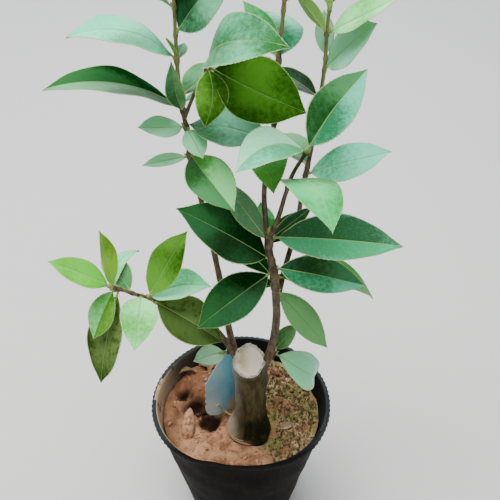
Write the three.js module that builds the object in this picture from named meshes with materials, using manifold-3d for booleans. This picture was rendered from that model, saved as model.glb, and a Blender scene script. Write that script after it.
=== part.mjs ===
// A young camellia shrub in a black nursery pot.
// Millimetres, +Z up. The origin is the centre of the pot's flat underside, and -Y is the side that is looked at.
import * as THREE from "three";
import { mergeVertices } from "three/addons/utils/BufferGeometryUtils.js";
import Module from "manifold-3d";

const wasm = await Module();
wasm.setup();

// Driving sizes
const GAP = 0.3; // clear space between two pieces that touch on the plant
const POT_HEIGHT = 140;
const RIM_RADIUS = 80; // a 16 cm pot
const LIP_WIDTH = 4.5;
const LIP_DEPTH = 7;
const WALL = 1.4;
const FOOT_RADIUS = 48;
const FLOOR = 3;
const POT_SIDES = 40;
const SOIL_LEVEL = 120;
const STUMP_HEIGHT = 87;
const STUMP_RADIUS = 12.5;
const CUT_TILT = 22; // degrees that the sawn face leans towards -Y
const LEAF_THICKNESS = 1.05;
const RIB_THICKNESS = 1.7;
const PETIOLE_SHARE = 0.07; // the leaf stalk's share of a leaf's length
const PETIOLE_WIDTH = 2.2;

const COLOUR = {
  pot: 0x1d1e20,
  soil: 0x8a5238,
  bark: 0x6b5a3f,
  shoot: 0x5a4632,
  tag: 0x6f9fc4,
  leaf: 0x3d7a45,
};

const radians = THREE.MathUtils.degToRad;
const V = (x, y, z) => new THREE.Vector3(x, y, z);
const bell = (x, width) => Math.exp(-((x / width) ** 2));
const smooth = THREE.MathUtils.smoothstep;

// The angle from one bearing to another, in degrees from -180 to 180.
const turn = (from, to) => ((((to - from) % 360) + 540) % 360) - 180;

// Solids and meshes

// A closed surface through rings of points, each ring counterclockwise as seen from the far end.
function loft(rings) {
  const around = rings[0].length;
  const position = rings.flat().flatMap((p) => [p.x, p.y, p.z]);
  const faces = [];
  for (let k = 0; k + 1 < rings.length; k++)
    for (let i = 0; i < around; i++) {
      const a = k * around + i;
      const b = k * around + ((i + 1) % around);
      faces.push(a, b, b + around, a, b + around, a + around);
    }
  const last = (rings.length - 1) * around;
  for (let i = 2; i < around; i++) {
    const next = (i + 1) % around;
    faces.push(1, next, i, last + 1, last + i, last + next);
  }
  return new THREE.BufferGeometry()
    .setAttribute("position", new THREE.Float32BufferAttribute(position, 3))
    .setIndex(faces);
}

function solidFrom(geometry) {
  const bare = geometry.clone();
  bare.deleteAttribute("normal");
  bare.deleteAttribute("uv");
  const merged = mergeVertices(bare, 1e-4);
  return new wasm.Manifold(
    new wasm.Mesh({
      numProp: 3,
      vertProperties: new Float32Array(merged.attributes.position.array),
      triVerts: new Uint32Array(merged.index.array),
    }),
  );
}

function geometryFrom(solid) {
  const mesh = solid.getMesh();
  return new THREE.BufferGeometry()
    .setAttribute("position", new THREE.BufferAttribute(mesh.vertProperties, 3))
    .setIndex(new THREE.BufferAttribute(mesh.triVerts, 1));
}

function piece(name, shape, color, roughness) {
  const geometry = shape.isBufferGeometry ? shape : geometryFrom(shape);
  geometry.computeVertexNormals();
  const material = new THREE.MeshStandardMaterial({ color, roughness, metalness: 0, flatShading: true });
  const mesh = new THREE.Mesh(geometry, material);
  mesh.name = name;
  return mesh;
}

// The pot

// The soft wall is pushed in at the front: a broad dent and a kink beside it, in millimetres and degrees.
const DENTS = [
  { bearing: 270, deep: 7.5, wide: 34 },
  { bearing: 251, deep: 2, wide: 8 },
];

// How far the wall is pushed in at a bearing and height, most at the rim.
function dent(bearing, z) {
  let inward = 0;
  for (const d of DENTS) inward += d.deep * bell(turn(d.bearing, bearing), d.wide);
  return inward * smooth(z, POT_HEIGHT / 2, POT_HEIGHT);
}

// Moves each point towards the axis by the dent, and points far from the wall by less.
function pressed(geometry) {
  const at = geometry.attributes.position;
  for (let i = 0; i < at.count; i++) {
    const x = at.getX(i);
    const y = at.getY(i);
    const r = Math.hypot(x, y);
    if (r < 1) continue;
    const bearing = THREE.MathUtils.radToDeg(Math.atan2(y, x));
    const inward = dent(bearing, at.getZ(i)) * (r / RIM_RADIUS) ** 3;
    at.setXY(i, x * (1 - inward / r), y * (1 - inward / r));
  }
  return geometry;
}

const lathe = (profile, sides) =>
  new THREE.LatheGeometry(profile.map(([r, z]) => new THREE.Vector2(r, z)), sides).rotateX(Math.PI / 2);

const wallRadius = (z) =>
  FOOT_RADIUS + ((RIM_RADIUS - LIP_WIDTH - FOOT_RADIUS) * z) / (POT_HEIGHT - LIP_DEPTH);

function potGeometry() {
  const neck = POT_HEIGHT - LIP_DEPTH;
  const inner = (z) => wallRadius(z) - WALL;
  const profile = [
    [0, 0],
    [FOOT_RADIUS - 2, 0],
    [wallRadius(3), 3],
    [wallRadius(70), 70],
    [wallRadius(105), 105],
    [wallRadius(neck), neck],
    [RIM_RADIUS, neck + 1.5],
    [RIM_RADIUS, POT_HEIGHT - 1],
    [RIM_RADIUS - 1.2, POT_HEIGHT],
    [RIM_RADIUS - LIP_WIDTH, POT_HEIGHT],
    [inner(neck), POT_HEIGHT - 2],
    [inner(105), 105],
    [inner(70), 70],
    [inner(FLOOR), FLOOR],
    [0, FLOOR],
  ];
  return pressed(lathe(profile, POT_SIDES));
}

// The soil

const STUMP_FOOT = V(9, -18, SOIL_LEVEL + GAP);
const SEAT_RADIUS = 25;
const HOLLOW = { x: -27, y: -8, deep: 11, wide: 10 };

// A fixed pattern of clods, level where the stump stands.
function soilHeight(x, y) {
  const fromStump = Math.hypot(x - STUMP_FOOT.x, y - STUMP_FOOT.y);
  const clods =
    1.6 * Math.sin(x * 0.13 + 1) * Math.cos(y * 0.16) +
    1.1 * Math.sin(x * 0.31 - y * 0.22 + 2);
  const hollow = HOLLOW.deep * bell(Math.hypot(x - HOLLOW.x, y - HOLLOW.y), HOLLOW.wide);
  return SOIL_LEVEL + (1.5 + clods - hollow) * smooth(fromStump, SEAT_RADIUS, SEAT_RADIUS + 9);
}

function soilGeometry() {
  const fit = (z) => wallRadius(z) - WALL - 2 * GAP;
  const shoulder = SOIL_LEVEL - 3;
  const edge = fit(shoulder);
  const rings = [0.86, 0.7, 0.54, 0.38, 0.2].map((share) => [edge * share, SOIL_LEVEL]);
  const side = [FLOOR + GAP, 70, 105, shoulder].map((z) => [fit(z), z]);
  const geometry = lathe([[0, FLOOR + GAP], ...side, ...rings, [0, SOIL_LEVEL]], POT_SIDES);
  const at = geometry.attributes.position;
  for (let i = 0; i < at.count; i++)
    if (at.getZ(i) > shoulder + 1) at.setZ(i, soilHeight(at.getX(i), at.getY(i)));
  return pressed(geometry);
}

// The stump, an old stock sawn off above the grafts

const STUMP_TOP = V(8, -16, SOIL_LEVEL + STUMP_HEIGHT);
// height above the soil and radius
const STUMP_PROFILE = [
  [0, 17.5],
  [4, 17],
  [10, 15.5],
  [20, 13.8],
  [34, 12.9],
  [52, STUMP_RADIUS],
  [66, 12.6],
  [77, 13],
];
// bearing, height, how far it stands out, and its reach in degrees and millimetres
const STUMP_SWELLINGS = [
  { bearing: 190, height: 8, out: 5, wide: 45, tall: 12 },
  { bearing: 300, height: 3, out: 2, wide: 30, tall: 9 },
  { bearing: -5, height: 66, out: 3, wide: 32, tall: 9 },
  { bearing: 145, height: 76, out: 3, wide: 34, tall: 10 },
];

function stumpRadius(base, bearing, height) {
  let radius = base;
  for (const s of STUMP_SWELLINGS)
    radius += s.out * bell(turn(s.bearing, bearing), s.wide) * bell(height - s.height, s.tall);
  return radius + 0.35 * Math.sin(radians(bearing) * 5 + height * 0.08);
}

function stumpSolid(grow = 0) {
  const sides = 28;
  const tilt = Math.tan(radians(CUT_TILT));
  const ring = (height, base, tilted) =>
    Array.from({ length: sides }, (_, i) => {
      const bearing = (360 * i) / sides;
      const centre = STUMP_FOOT.clone().lerp(STUMP_TOP, height / STUMP_HEIGHT);
      const r = stumpRadius(base, bearing, height) + grow;
      const x = r * Math.cos(radians(bearing));
      const y = r * Math.sin(radians(bearing));
      return V(centre.x + x, centre.y + y, centre.z + (tilted ? y * tilt + grow : 0));
    });
  const rings = STUMP_PROFILE.map(([height, base]) => ring(height, base, false));
  rings.push(ring(STUMP_HEIGHT - 1, STUMP_RADIUS + 0.6, true), ring(STUMP_HEIGHT, STUMP_RADIUS - 0.3, true));
  return solidFrom(loft(rings));
}

// Limbs: each is one curve, bare as far as its foliage and leafy from there to its tip

// path: the centre line, from inside what carries it; leafy: the point where its foliage starts
const LIMBS = {
  left: {
    path: [[-2, -10, 198], [-9, 0, 227], [-14, 8, 262], [-22, 16, 310], [-29, 22, 345], [-35, 27, 372],
      [-36, 30, 390], [-39, 33, 412], [-41, 36, 440], [-41, 39, 466], [-41, 41, 488], [-40, 43, 506]],
    leafy: 5,
    radius: [3, 1],
  },
  low: {
    path: [[-3, -10, 202], [-19, -8, 235], [-40, -11, 255], [-61, -15, 271],
      [-70, -18, 279], [-80, -20, 286], [-94, -21, 293]],
    leafy: 3,
    radius: [2.6, 1.1],
  },
  right: {
    path: [[17, -16, 190], [26, -12, 222], [29, -8, 250], [28, -8, 270],
      [27, -8, 286], [25, -8, 302], [22, -7, 318], [22, -6, 331]],
    leafy: 3,
    radius: [3.6, 2.6],
  },
  centre: {
    path: [[20, -4.6, 332.2], [18, 0, 366], [22, 8, 396], [25, 11, 420], [26, 14, 450], [28, 15, 480], [30, 17, 512]],
    leafy: 2,
    radius: [2, 1.1],
  },
  middle: {
    path: [[23.2, -7.6, 331.9], [28, -11, 350], [32, -15, 372], [36, -18, 390], [44, -22, 410]],
    leafy: 2,
    radius: [1.9, 1.2],
  },
  back: {
    path: [[29, -6, 262], [34, 8, 280], [44, 24, 318], [48, 34, 346],
      [52, 37, 370], [56, 42, 405], [59, 42, 438], [59, 43, 464], [60, 45, 478]],
    leafy: 3,
    radius: [2.3, 1.1],
  },
  side: {
    path: [[-38, 31.5, 404], [-32, 26, 421], [-26, 19, 436], [-21, 15, 446], [-19, 12, 453]],
    leafy: 3,
    radius: [1.4, 1.1],
  },
  footRight: { path: [[26, -12, 205], [28, -9, 209], [28, -9.5, 213]], leafy: 0, radius: [1.5, 1.2] },
  footLeft: { path: [[-6, -9, 209], [-10, -11, 212], [-12, -12, 213]], leafy: 0, radius: [1.4, 1.2] },
};

for (const limb of Object.values(LIMBS)) {
  limb.curve = new THREE.CatmullRomCurve3(limb.path.map((p) => V(...p)));
  limb.length = limb.curve.getLength();
  const fine = 50 * (limb.path.length - 1);
  limb.split = limb.curve.getLengths(fine)[50 * limb.leafy] / limb.length;
}

// A round tapering stretch of a limb, between two shares of its length.
function stretch(limb, from, to, grow = 0) {
  const sides = 8;
  const steps = Math.max(2, Math.round(((to - from) * limb.length) / 16));
  const along = (k) => from + ((to - from) * k) / steps;
  const rings = [];
  let across = V(1, 0, 0);
  for (let k = 0; k <= steps; k++) {
    const middle = limb.curve.getPointAt(along(k));
    const forward = limb.curve.getTangentAt(along(k));
    across = across.addScaledVector(forward, -across.dot(forward)).normalize();
    const third = forward.clone().cross(across);
    const r = THREE.MathUtils.lerp(limb.radius[0], limb.radius[1], along(k)) + grow;
    rings.push(
      Array.from({ length: sides }, (_, i) => {
        const a = (2 * Math.PI * i) / sides;
        return middle.clone().addScaledVector(across, r * Math.cos(a)).addScaledVector(third, r * Math.sin(a));
      }),
    );
    across = across.clone();
  }
  return solidFrom(loft(rings));
}

const bough = (limb, grow = 0) => stretch(limb, 0, limb.split, grow);
const leafyStem = (limb, grow = 0) =>
  stretch(limb, limb.split + (limb.leafy ? GAP / limb.length : 0), 1, grow);

// Leaves

// shares of the blade's length, close together where the outline turns
const STATIONS = [0.1, 0.27, 0.5, 0.73, 0.9];

// Half of a blade's width at a share of its length, as a share of its greatest half width.
const outline = (t) => Math.sin(Math.PI * t ** 0.9) ** 0.85 * (1 - 0.3 * smooth(t, 0.8, 1));

// A leaf on a limb. at: its place on the leafy part, from 0 to 1; toward: its bearing; rise: how it climbs;
// roll: how its face turns about its length; arch: how far it curls down along its length;
// keel: how far each half is raised; sway: its sideways bow as a share of its length. Angles are degrees.
function leafSolid(limb, leaf) {
  const { at, toward, rise, roll = 0, long, wide, arch = 15, keel = 10, sway = 0 } = leaf;
  const root = limb.curve.getPointAt(limb.split + (1 - limb.split) * at);
  const a = radians(toward);
  const up = radians(rise);
  const along = V(Math.cos(a) * Math.cos(up), Math.sin(a) * Math.cos(up), Math.sin(up));
  const level = V(-Math.cos(a) * Math.sin(up), -Math.sin(a) * Math.sin(up), Math.cos(up));
  const face = level.applyAxisAngle(along, radians(roll));
  const across = along.clone().cross(face);
  const bend = radians(arch);
  const bow = long / bend;
  const place = (share, sideways, raised) => {
    const angle = bend * (share - 0.5);
    return root
      .clone()
      .addScaledVector(along, bow * (Math.sin(angle) + Math.sin(bend / 2)))
      .addScaledVector(face, bow * (Math.cos(angle) - Math.cos(bend / 2)) + raised)
      .addScaledVector(across, long * sway * Math.sin(Math.PI * share) + sideways);
  };
  const ring = (share, half, thickness, rib) => {
    const out = half * Math.cos(radians(keel));
    const raised = half * Math.sin(radians(keel));
    return [
      place(share, -out, raised),
      place(share, 0, 0),
      place(share, out, raised),
      place(share, out, raised - thickness),
      place(share, 0, -rib),
      place(share, -out, raised - thickness),
    ];
  };
  const stalk = PETIOLE_WIDTH / 2;
  const rings = [ring(0, stalk, 1.6, 2), ring(PETIOLE_SHARE, stalk, 1.6, 2)];
  for (const t of STATIONS)
    rings.push(
      ring(
        PETIOLE_SHARE + (1 - PETIOLE_SHARE) * t,
        Math.max(stalk, (wide / 2) * outline(t)),
        LEAF_THICKNESS,
        RIB_THICKNESS,
      ),
    );
  rings.push(ring(1, 0.5, 0.8, 0.8));
  return solidFrom(loft(rings));
}

// Every leaf that the plant shows from the front, and those behind them that fill the crown's far side.
const LEAVES = {
  left: [
    { at: 0.55, toward: 198, rise: 20, roll: -8, long: 80, wide: 38, arch: 78, keel: 2 },
    { at: 0.29, toward: 198, rise: 18, long: 100, wide: 42, arch: 58, keel: 4 },
    { at: 0.285, toward: 258, rise: 68, roll: -167, long: 50, wide: 13, arch: 40, keel: 30, sway: -0.02 },
    { at: 0.33, toward: 8, rise: 22, roll: -10, long: 26, wide: 12, arch: 20 },
    { at: 0.2, toward: 213, rise: 16, roll: -30, long: 38, wide: 18, arch: -16, keel: 8 },
    { at: 0.19, toward: 301, rise: -28, roll: 10, long: 27, wide: 17, arch: 20 },
    { at: 0.03, toward: 189, rise: -7, roll: -35, long: 35, wide: 10, arch: 8, keel: 18 },
    { at: 0.05, toward: 307, rise: -21, roll: 12, long: 59, wide: 33, arch: 30, keel: 14, sway: 0.03 },
    { at: 0.68, toward: 340, rise: 52, roll: 60, long: 68, wide: 38, arch: 18, keel: 8 },
    { at: 0.81, toward: 219, rise: 31, roll: -20, long: 42, wide: 19, arch: 30 },
    { at: 0.55, toward: 73, rise: 20, long: 17, wide: 9, arch: 20 },
    { at: 0.57, toward: 212, rise: 66, long: 16, wide: 8, arch: 20 },
    { at: 0.93, toward: 100, rise: 35, long: 54, wide: 25, arch: 30 },
    { at: 1, toward: 20, rise: 55, long: 40, wide: 17 },
    { at: 1, toward: 200, rise: 68, long: 34, wide: 13 },
    { at: 0.36, toward: 55, rise: 4, long: 55, wide: 27, arch: 25 },
  ],
  side: [
    { at: 0.95, toward: 266, rise: -51, roll: 7, long: 41, wide: 22, arch: 60, keel: 6, sway: -0.13 },
    { at: 0.99, toward: 320, rise: 26, roll: 38, long: 80, wide: 38, arch: 95, keel: 8 },
    { at: 1, toward: 341, rise: -18, roll: 37, long: 70, wide: 45, arch: 12, keel: 8, sway: 0.03 },
    { at: 0.54, toward: 352, rise: -20, roll: 27, long: 40, wide: 13, arch: 8, keel: 4, sway: 0.07 },
  ],
  low: [
    { at: 1, toward: 185, rise: 34, roll: -25, long: 51, wide: 21 },
    { at: 0.97, toward: 135, rise: 82, roll: 25, long: 50, wide: 20, arch: 10, keel: 16, sway: -0.05 },
    { at: 0.94, toward: 73, rise: 2, roll: 5, long: 46, wide: 11, arch: 60, keel: 9, sway: -0.14 },
    { at: 0.96, toward: 225, rise: -56, roll: -15, long: 44, wide: 22, arch: 22 },
    { at: 0.88, toward: 232, rise: -68, long: 83, wide: 34 },
    { at: 0.29, toward: 23, rise: 57, roll: 28, long: 64, wide: 28, arch: 10, keel: 14 },
    { at: 0.43, toward: 271, rise: -5, roll: -7, long: 54, wide: 27, arch: 60, keel: 12, sway: -0.01 },
    { at: 0.31, toward: 1, rise: 13, roll: 4, long: 50, wide: 32, arch: 9, keel: 9, sway: -0.12 },
    { at: 0.2, toward: 346, rise: -30, roll: 18, long: 64, wide: 38, arch: 20, keel: 8 },
    { at: 0.62, toward: 130, rise: 20, long: 42, wide: 20, arch: 20 },
    { at: 0.1, toward: 85, rise: 8, long: 48, wide: 22, arch: 20 },
  ],
  right: [
    { at: 0.62, toward: 191, rise: 40, roll: -34, long: 88, wide: 40 },
    { at: 0.45, toward: 205, rise: -28, roll: -22, long: 72, wide: 35 },
    { at: 0.51, toward: 343, rise: 0, roll: 27, long: 70, wide: 29 },
    { at: 0.96, toward: 346, rise: 6, roll: 25, long: 96, wide: 37, keel: 12 },
    { at: 0.46, toward: 10, rise: -27, roll: 16, long: 98, wide: 26, arch: 70, keel: 4, sway: -0.06 },
    { at: 0.17, toward: 331, rise: -42, roll: 22, long: 63, wide: 23, arch: 12, keel: 8 },
    { at: 0.88, toward: 152, rise: 46, roll: -28, long: 60, wide: 19 },
    { at: 0.9, toward: 103, rise: 30, long: 32, wide: 15, arch: 20 },
    { at: 0.92, toward: 20, rise: 33, roll: 50, long: 40, wide: 11, arch: 20, keel: 20 },
    { at: 0.84, toward: 43, rise: 16, roll: 10, long: 42, wide: 17 },
    { at: 0.33, toward: 122, rise: -5, long: 60, wide: 26, arch: 20 },
    { at: 0.2, toward: 145, rise: -30, long: 42, wide: 21, arch: 20 },
    { at: 0.36, toward: 15, rise: -25, long: 56, wide: 24, arch: 20 },
  ],
  centre: [
    { at: 0.03, toward: 160, rise: 2, roll: -15, long: 61, wide: 37, arch: 20, keel: 3, sway: 0.03 },
    { at: 0.03, toward: 271, rise: -14, roll: 8, long: 54, wide: 26, arch: 103, keel: 2, sway: 0.03 },
    { at: 0.51, toward: 98, rise: 14, roll: 8, long: 55, wide: 42, arch: 55, keel: 3, sway: -0.03 },
    { at: 0.52, toward: 145, rise: 50, roll: -15, long: 43, wide: 18, arch: 25, keel: 8 },
    { at: 0.86, toward: 330, rise: 45, roll: 20, long: 58, wide: 27, arch: 25 },
    { at: 0.92, toward: 200, rise: 42, roll: -15, long: 60, wide: 28, arch: 25 },
    { at: 0.8, toward: 78, rise: 25, long: 62, wide: 30, arch: 30 },
    { at: 1, toward: 140, rise: 62, long: 40, wide: 16 },
    { at: 1, toward: 290, rise: 64, long: 36, wide: 15 },
    { at: 0.15, toward: 92, rise: 5, long: 60, wide: 28, arch: 20 },
    { at: 0.34, toward: 120, rise: 0, long: 55, wide: 27, arch: 20 },
  ],
  middle: [
    { at: 1, toward: 16, rise: 55, roll: 38, long: 64, wide: 30, arch: 10, keel: 8, sway: -0.03 },
    { at: 0.2, toward: 291, rise: 7, roll: -10, long: 78, wide: 36, arch: 106, keel: 2, sway: 0.01 },
    { at: 1, toward: 213, rise: 4, roll: -12, long: 58, wide: 31, arch: 80, keel: 8, sway: 0.08 },
  ],
  back: [
    { at: 0.88, toward: 333, rise: 35, roll: 30, long: 56, wide: 24, keel: 12, sway: 0.05 },
    { at: 0.88, toward: 192, rise: 52, roll: 60, long: 37, wide: 10, arch: 10, keel: 25 },
    { at: 0.69, toward: 322, rise: 49, roll: 48, long: 55, wide: 31, arch: 12, keel: 8 },
    { at: 0.75, toward: 94, rise: 56, roll: -10, long: 32, wide: 13, arch: 10 },
    { at: 0.07, toward: 343, rise: 27, roll: 35, long: 68, wide: 29, arch: 16, keel: 4 },
    { at: 0.3, toward: 60, rise: 10, long: 58, wide: 27, arch: 25 },
    { at: 0.12, toward: 112, rise: 0, long: 55, wide: 26, arch: 25 },
    { at: 0.52, toward: 150, rise: 20, long: 42, wide: 21, arch: 25 },
    { at: 1, toward: 60, rise: 40, long: 50, wide: 22, arch: 20 },
    { at: 1, toward: 150, rise: 58, long: 38, wide: 15 },
  ],
  footRight: [
    { at: 0.95, toward: 24, rise: 48, roll: 20, long: 30, wide: 15, arch: 10 },
    { at: 0.6, toward: 10, rise: -46, roll: 38, long: 61, wide: 30, arch: 120, keel: 16, sway: 0.09 },
  ],
  footLeft: [{ at: 0.9, toward: 208, rise: 9, roll: -15, long: 30, wide: 19, arch: 30 }],
};

function foliage(name) {
  let mass = leafyStem(LIMBS[name]);
  for (const leaf of LEAVES[name]) mass = mass.add(leafSolid(LIMBS[name], leaf));
  const whole = mass.decompose();
  return whole.reduce((most, one) => (one.volume() > most.volume() ? one : most));
}

// The plastic plant label, a thin plate with a narrow neck, its foot set in the soil behind the hollow

const TAG = { width: 34, height: 76, shoulder: 40, neck: 5, neckOffset: 6, thick: 0.8, sunk: 3 };
const TAG_CORNER = 10; // radius of its lower corners
const TAG_HOLE = { fromLeft: 11, up: 13, radius: 1.6 };
const TAG_FOOT = V(-16, 3, SOIL_LEVEL - TAG.sunk);
const TAG_LEAN = 6; // degrees back from upright
const TAG_TILT = 3; // degrees to the right
const TAG_TURN = 20; // degrees that its right edge is turned away behind the stump

function tagPlate() {
  const half = TAG.width / 2;
  const neckLeft = TAG.neckOffset - TAG.neck / 2;
  const shape = new THREE.Shape();
  shape.moveTo(TAG_CORNER - half, 0);
  shape.lineTo(half - TAG_CORNER, 0);
  shape.absarc(half - TAG_CORNER, TAG_CORNER, TAG_CORNER, -Math.PI / 2, 0);
  shape.lineTo(half, TAG.shoulder);
  shape.lineTo(neckLeft + TAG.neck, TAG.height);
  shape.lineTo(neckLeft, TAG.height);
  shape.lineTo(-half, TAG.shoulder);
  shape.absarc(TAG_CORNER - half, TAG_CORNER, TAG_CORNER, Math.PI, 1.5 * Math.PI);
  const hole = new THREE.Path();
  hole.absarc(TAG_HOLE.fromLeft - half, TAG_HOLE.up, TAG_HOLE.radius, 0, 2 * Math.PI, true);
  shape.holes.push(hole);
  return new THREE.ExtrudeGeometry(shape, { depth: TAG.thick, bevelEnabled: false, curveSegments: 6 });
}

// The slot that the label stands in.
function tagSlot() {
  const height = 2 * (TAG.sunk + GAP);
  const slot = new THREE.BoxGeometry(TAG.width + 2 * GAP, height, TAG.thick + 2 * GAP);
  return slot.translate(0, TAG.sunk, TAG.thick / 2);
}

// Stands a shape that is drawn flat upright in the soil.
const planted = (geometry) =>
  geometry
    .rotateZ(-radians(TAG_TILT))
    .rotateX(radians(90 - TAG_LEAN))
    .rotateZ(radians(TAG_TURN))
    .translate(TAG_FOOT.x, TAG_FOOT.y, TAG_FOOT.z);

// Assembly

const slottedSoil = solidFrom(soilGeometry()).subtract(solidFrom(planted(tagSlot())));
const plant = new THREE.Group();
plant.add(piece("pot", potGeometry(), COLOUR.pot, 0.5));
plant.add(piece("soil", slottedSoil, COLOUR.soil, 1));
plant.add(piece("trunk", stumpSolid(), COLOUR.bark, 0.85));

plant.add(piece("tag", planted(tagPlate()), COLOUR.tag, 0.5));

const cutStump = stumpSolid(GAP);
const boughs = {
  bough_left: bough(LIMBS.left).subtract(cutStump),
  bough_low_left: bough(LIMBS.low).subtract(cutStump).subtract(bough(LIMBS.left, GAP)),
  bough_right: bough(LIMBS.right).subtract(cutStump),
  bough_centre: bough(LIMBS.centre),
  bough_middle: bough(LIMBS.middle),
  bough_back: bough(LIMBS.back).subtract(bough(LIMBS.right, GAP)).subtract(leafyStem(LIMBS.right, GAP)),
  bough_side: bough(LIMBS.side).subtract(leafyStem(LIMBS.left, GAP)),
};
for (const [name, solid] of Object.entries(boughs)) plant.add(piece(name, solid, COLOUR.shoot, 0.7));

const masses = {
  foliage_left: foliage("left"),
  foliage_side: foliage("side"),
  foliage_low_left: foliage("low"),
  foliage_heart: foliage("right"),
  foliage_centre: foliage("centre"),
  foliage_middle: foliage("middle"),
  foliage_right: foliage("back"),
  foliage_foot_right: foliage("footRight").subtract(bough(LIMBS.right, GAP)).subtract(cutStump),
  foliage_foot_left: foliage("footLeft")
    .subtract(bough(LIMBS.left, GAP))
    .subtract(bough(LIMBS.low, GAP))
    .subtract(cutStump),
};
for (const [name, solid] of Object.entries(masses)) plant.add(piece(name, solid, COLOUR.leaf, 0.35));

export default plant;
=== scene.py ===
# %% [markdown]
# # A young camellia in a soft nursery pot
# The plant is an old stock, sawn off short, with several thin shoots that rise from just under the cut.
# Each shoot carries leathery, glossy leaves. The pot is soft black plastic, pushed in at the front. The
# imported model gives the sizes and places. Here each of its solids gets a finer piece and a real finish.

# %% Loading the fixed frame
import math
import random
from typing import NamedTuple

import bpy
import numpy as np
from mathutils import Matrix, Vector, noise


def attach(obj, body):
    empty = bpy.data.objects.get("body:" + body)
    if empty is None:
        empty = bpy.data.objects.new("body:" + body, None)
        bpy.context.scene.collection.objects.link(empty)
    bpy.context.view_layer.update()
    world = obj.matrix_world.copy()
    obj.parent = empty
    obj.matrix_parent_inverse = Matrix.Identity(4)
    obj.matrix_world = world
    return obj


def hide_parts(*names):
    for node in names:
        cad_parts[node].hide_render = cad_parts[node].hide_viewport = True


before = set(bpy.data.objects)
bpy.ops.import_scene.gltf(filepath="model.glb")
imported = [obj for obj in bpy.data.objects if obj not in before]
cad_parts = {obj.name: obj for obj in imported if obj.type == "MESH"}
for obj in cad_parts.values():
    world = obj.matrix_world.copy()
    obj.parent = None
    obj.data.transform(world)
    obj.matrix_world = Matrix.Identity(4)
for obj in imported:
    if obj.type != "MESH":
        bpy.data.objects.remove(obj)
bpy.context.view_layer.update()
MM = 0.001
BODY = "root"

# %% [markdown]
# The camera stands in front of the plant and looks down on it steeply, as a person does who holds a phone
# over a pot. A camera has a place, a turn and a lens. The three were found by matching the pot's rim, which
# is a circle in the world and an ellipse in the picture, so they aren't guessed from the look of the
# leaves.

# %% The camera
CAMERA_PLACE = (0.008, -0.429, 0.660)
CAMERA_DOWN = 39.1  # degrees below the horizon
CAMERA_LENS = 53.28  # millimetres
SENSOR_WIDTH = 36  # millimetres
camera_data = bpy.data.cameras.new("camera_lens")
camera_data.sensor_width = SENSOR_WIDTH
camera_data.lens = CAMERA_LENS
camera = bpy.data.objects.new("camera", camera_data)
camera.location = CAMERA_PLACE
camera.rotation_euler = (math.radians(90 - CAMERA_DOWN), 0, 0)
bpy.context.scene.collection.objects.link(camera)
bpy.context.scene.camera = camera
print("camera looks down by", CAMERA_DOWN, "degrees")

# %% [markdown]
# Leaves are seen by what they reflect. Outdoors that is a bright, even sky, so the world is pale and three
# large soft lamps stand in for it. Only the one behind the plant may be mirrored in the leaves, as a soft
# sheen. A mirror of the other two would turn the greens grey, so they only light the colours. The floor is
# plain and pale and isn't part of the object.


# %% The floor and the lamps
PLANT_MIDDLE = (0, 0, 0.3)
# name, place, size, watts, colour, and whether the leaves mirror it
LAMPS = (
    ("sky_lamp", (-0.3, 1.75, 1.35), (3.4, 1.2), 34, (0.90, 0.97, 1.0), True),
    ("top_lamp", (-0.3, 0.1, 2.2), (1.6, 1.6), 82, (1.0, 1.0, 1.0), False),
    ("front_lamp", (0.4, -1.2, 1.5), (1.0, 1.0), 6, (1.0, 0.98, 0.95), False),
)
SKY_COLOR = (0.86, 0.92, 1.0, 1)
SKY_STRENGTH = 0.22
FLOOR_SIZE = 8


def add_lamp(name, place, size, watts, color, mirrored):
    data = bpy.data.lights.new(name, "AREA")
    data.shape = "RECTANGLE"
    data.size, data.size_y = size
    data.energy = watts
    data.color = color
    lamp = bpy.data.objects.new(name, data)
    lamp.location = place
    aim = Vector(PLANT_MIDDLE) - Vector(place)
    lamp.rotation_euler = aim.to_track_quat("-Z", "Y").to_euler()
    lamp.visible_glossy = mirrored
    bpy.context.scene.collection.objects.link(lamp)


bpy.ops.mesh.primitive_plane_add(size=FLOOR_SIZE)
floor = bpy.context.object
floor.name = "floor"
for facts in LAMPS:
    add_lamp(*facts)
world = bpy.data.worlds.new("pale_sky")
world.use_nodes = True
background = world.node_tree.nodes["Background"]
background.inputs["Color"].default_value = SKY_COLOR
background.inputs["Strength"].default_value = SKY_STRENGTH
bpy.context.scene.world = world
print("lamps:", len(LAMPS))

# %% [markdown]
# A finish is a small network of nodes. Written out by hand, a network hides the idea behind it, so one
# class wraps a socket and lets ordinary arithmetic add the Math nodes, and another holds the material. With
# them a line such as `1 - mask` reads as what it does.


# %% Shader arithmetic
class Shade:
    """A value that varies over a surface. Arithmetic on it adds Math nodes."""

    def __init__(self, finish, socket):
        self.finish = finish
        self.socket = socket

    def math(self, operation, *values):
        return self.finish.node("ShaderNodeMath", {"operation": operation}, dict(enumerate(values)))

    def __add__(self, other):
        return self.math("ADD", self, other)

    def __sub__(self, other):
        return self.math("SUBTRACT", self, other)

    def __rsub__(self, other):
        return self.math("SUBTRACT", other, self)

    def __mul__(self, other):
        return self.math("MULTIPLY", self, other)

    __radd__ = __add__

    def ramp(self, low, high):
        """0 below low, 1 above high, and smooth between."""
        ends = {"Value": self, "From Min": low, "From Max": high}
        return self.finish.node("ShaderNodeMapRange", {"interpolation_type": "SMOOTHSTEP"}, ends)


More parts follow.
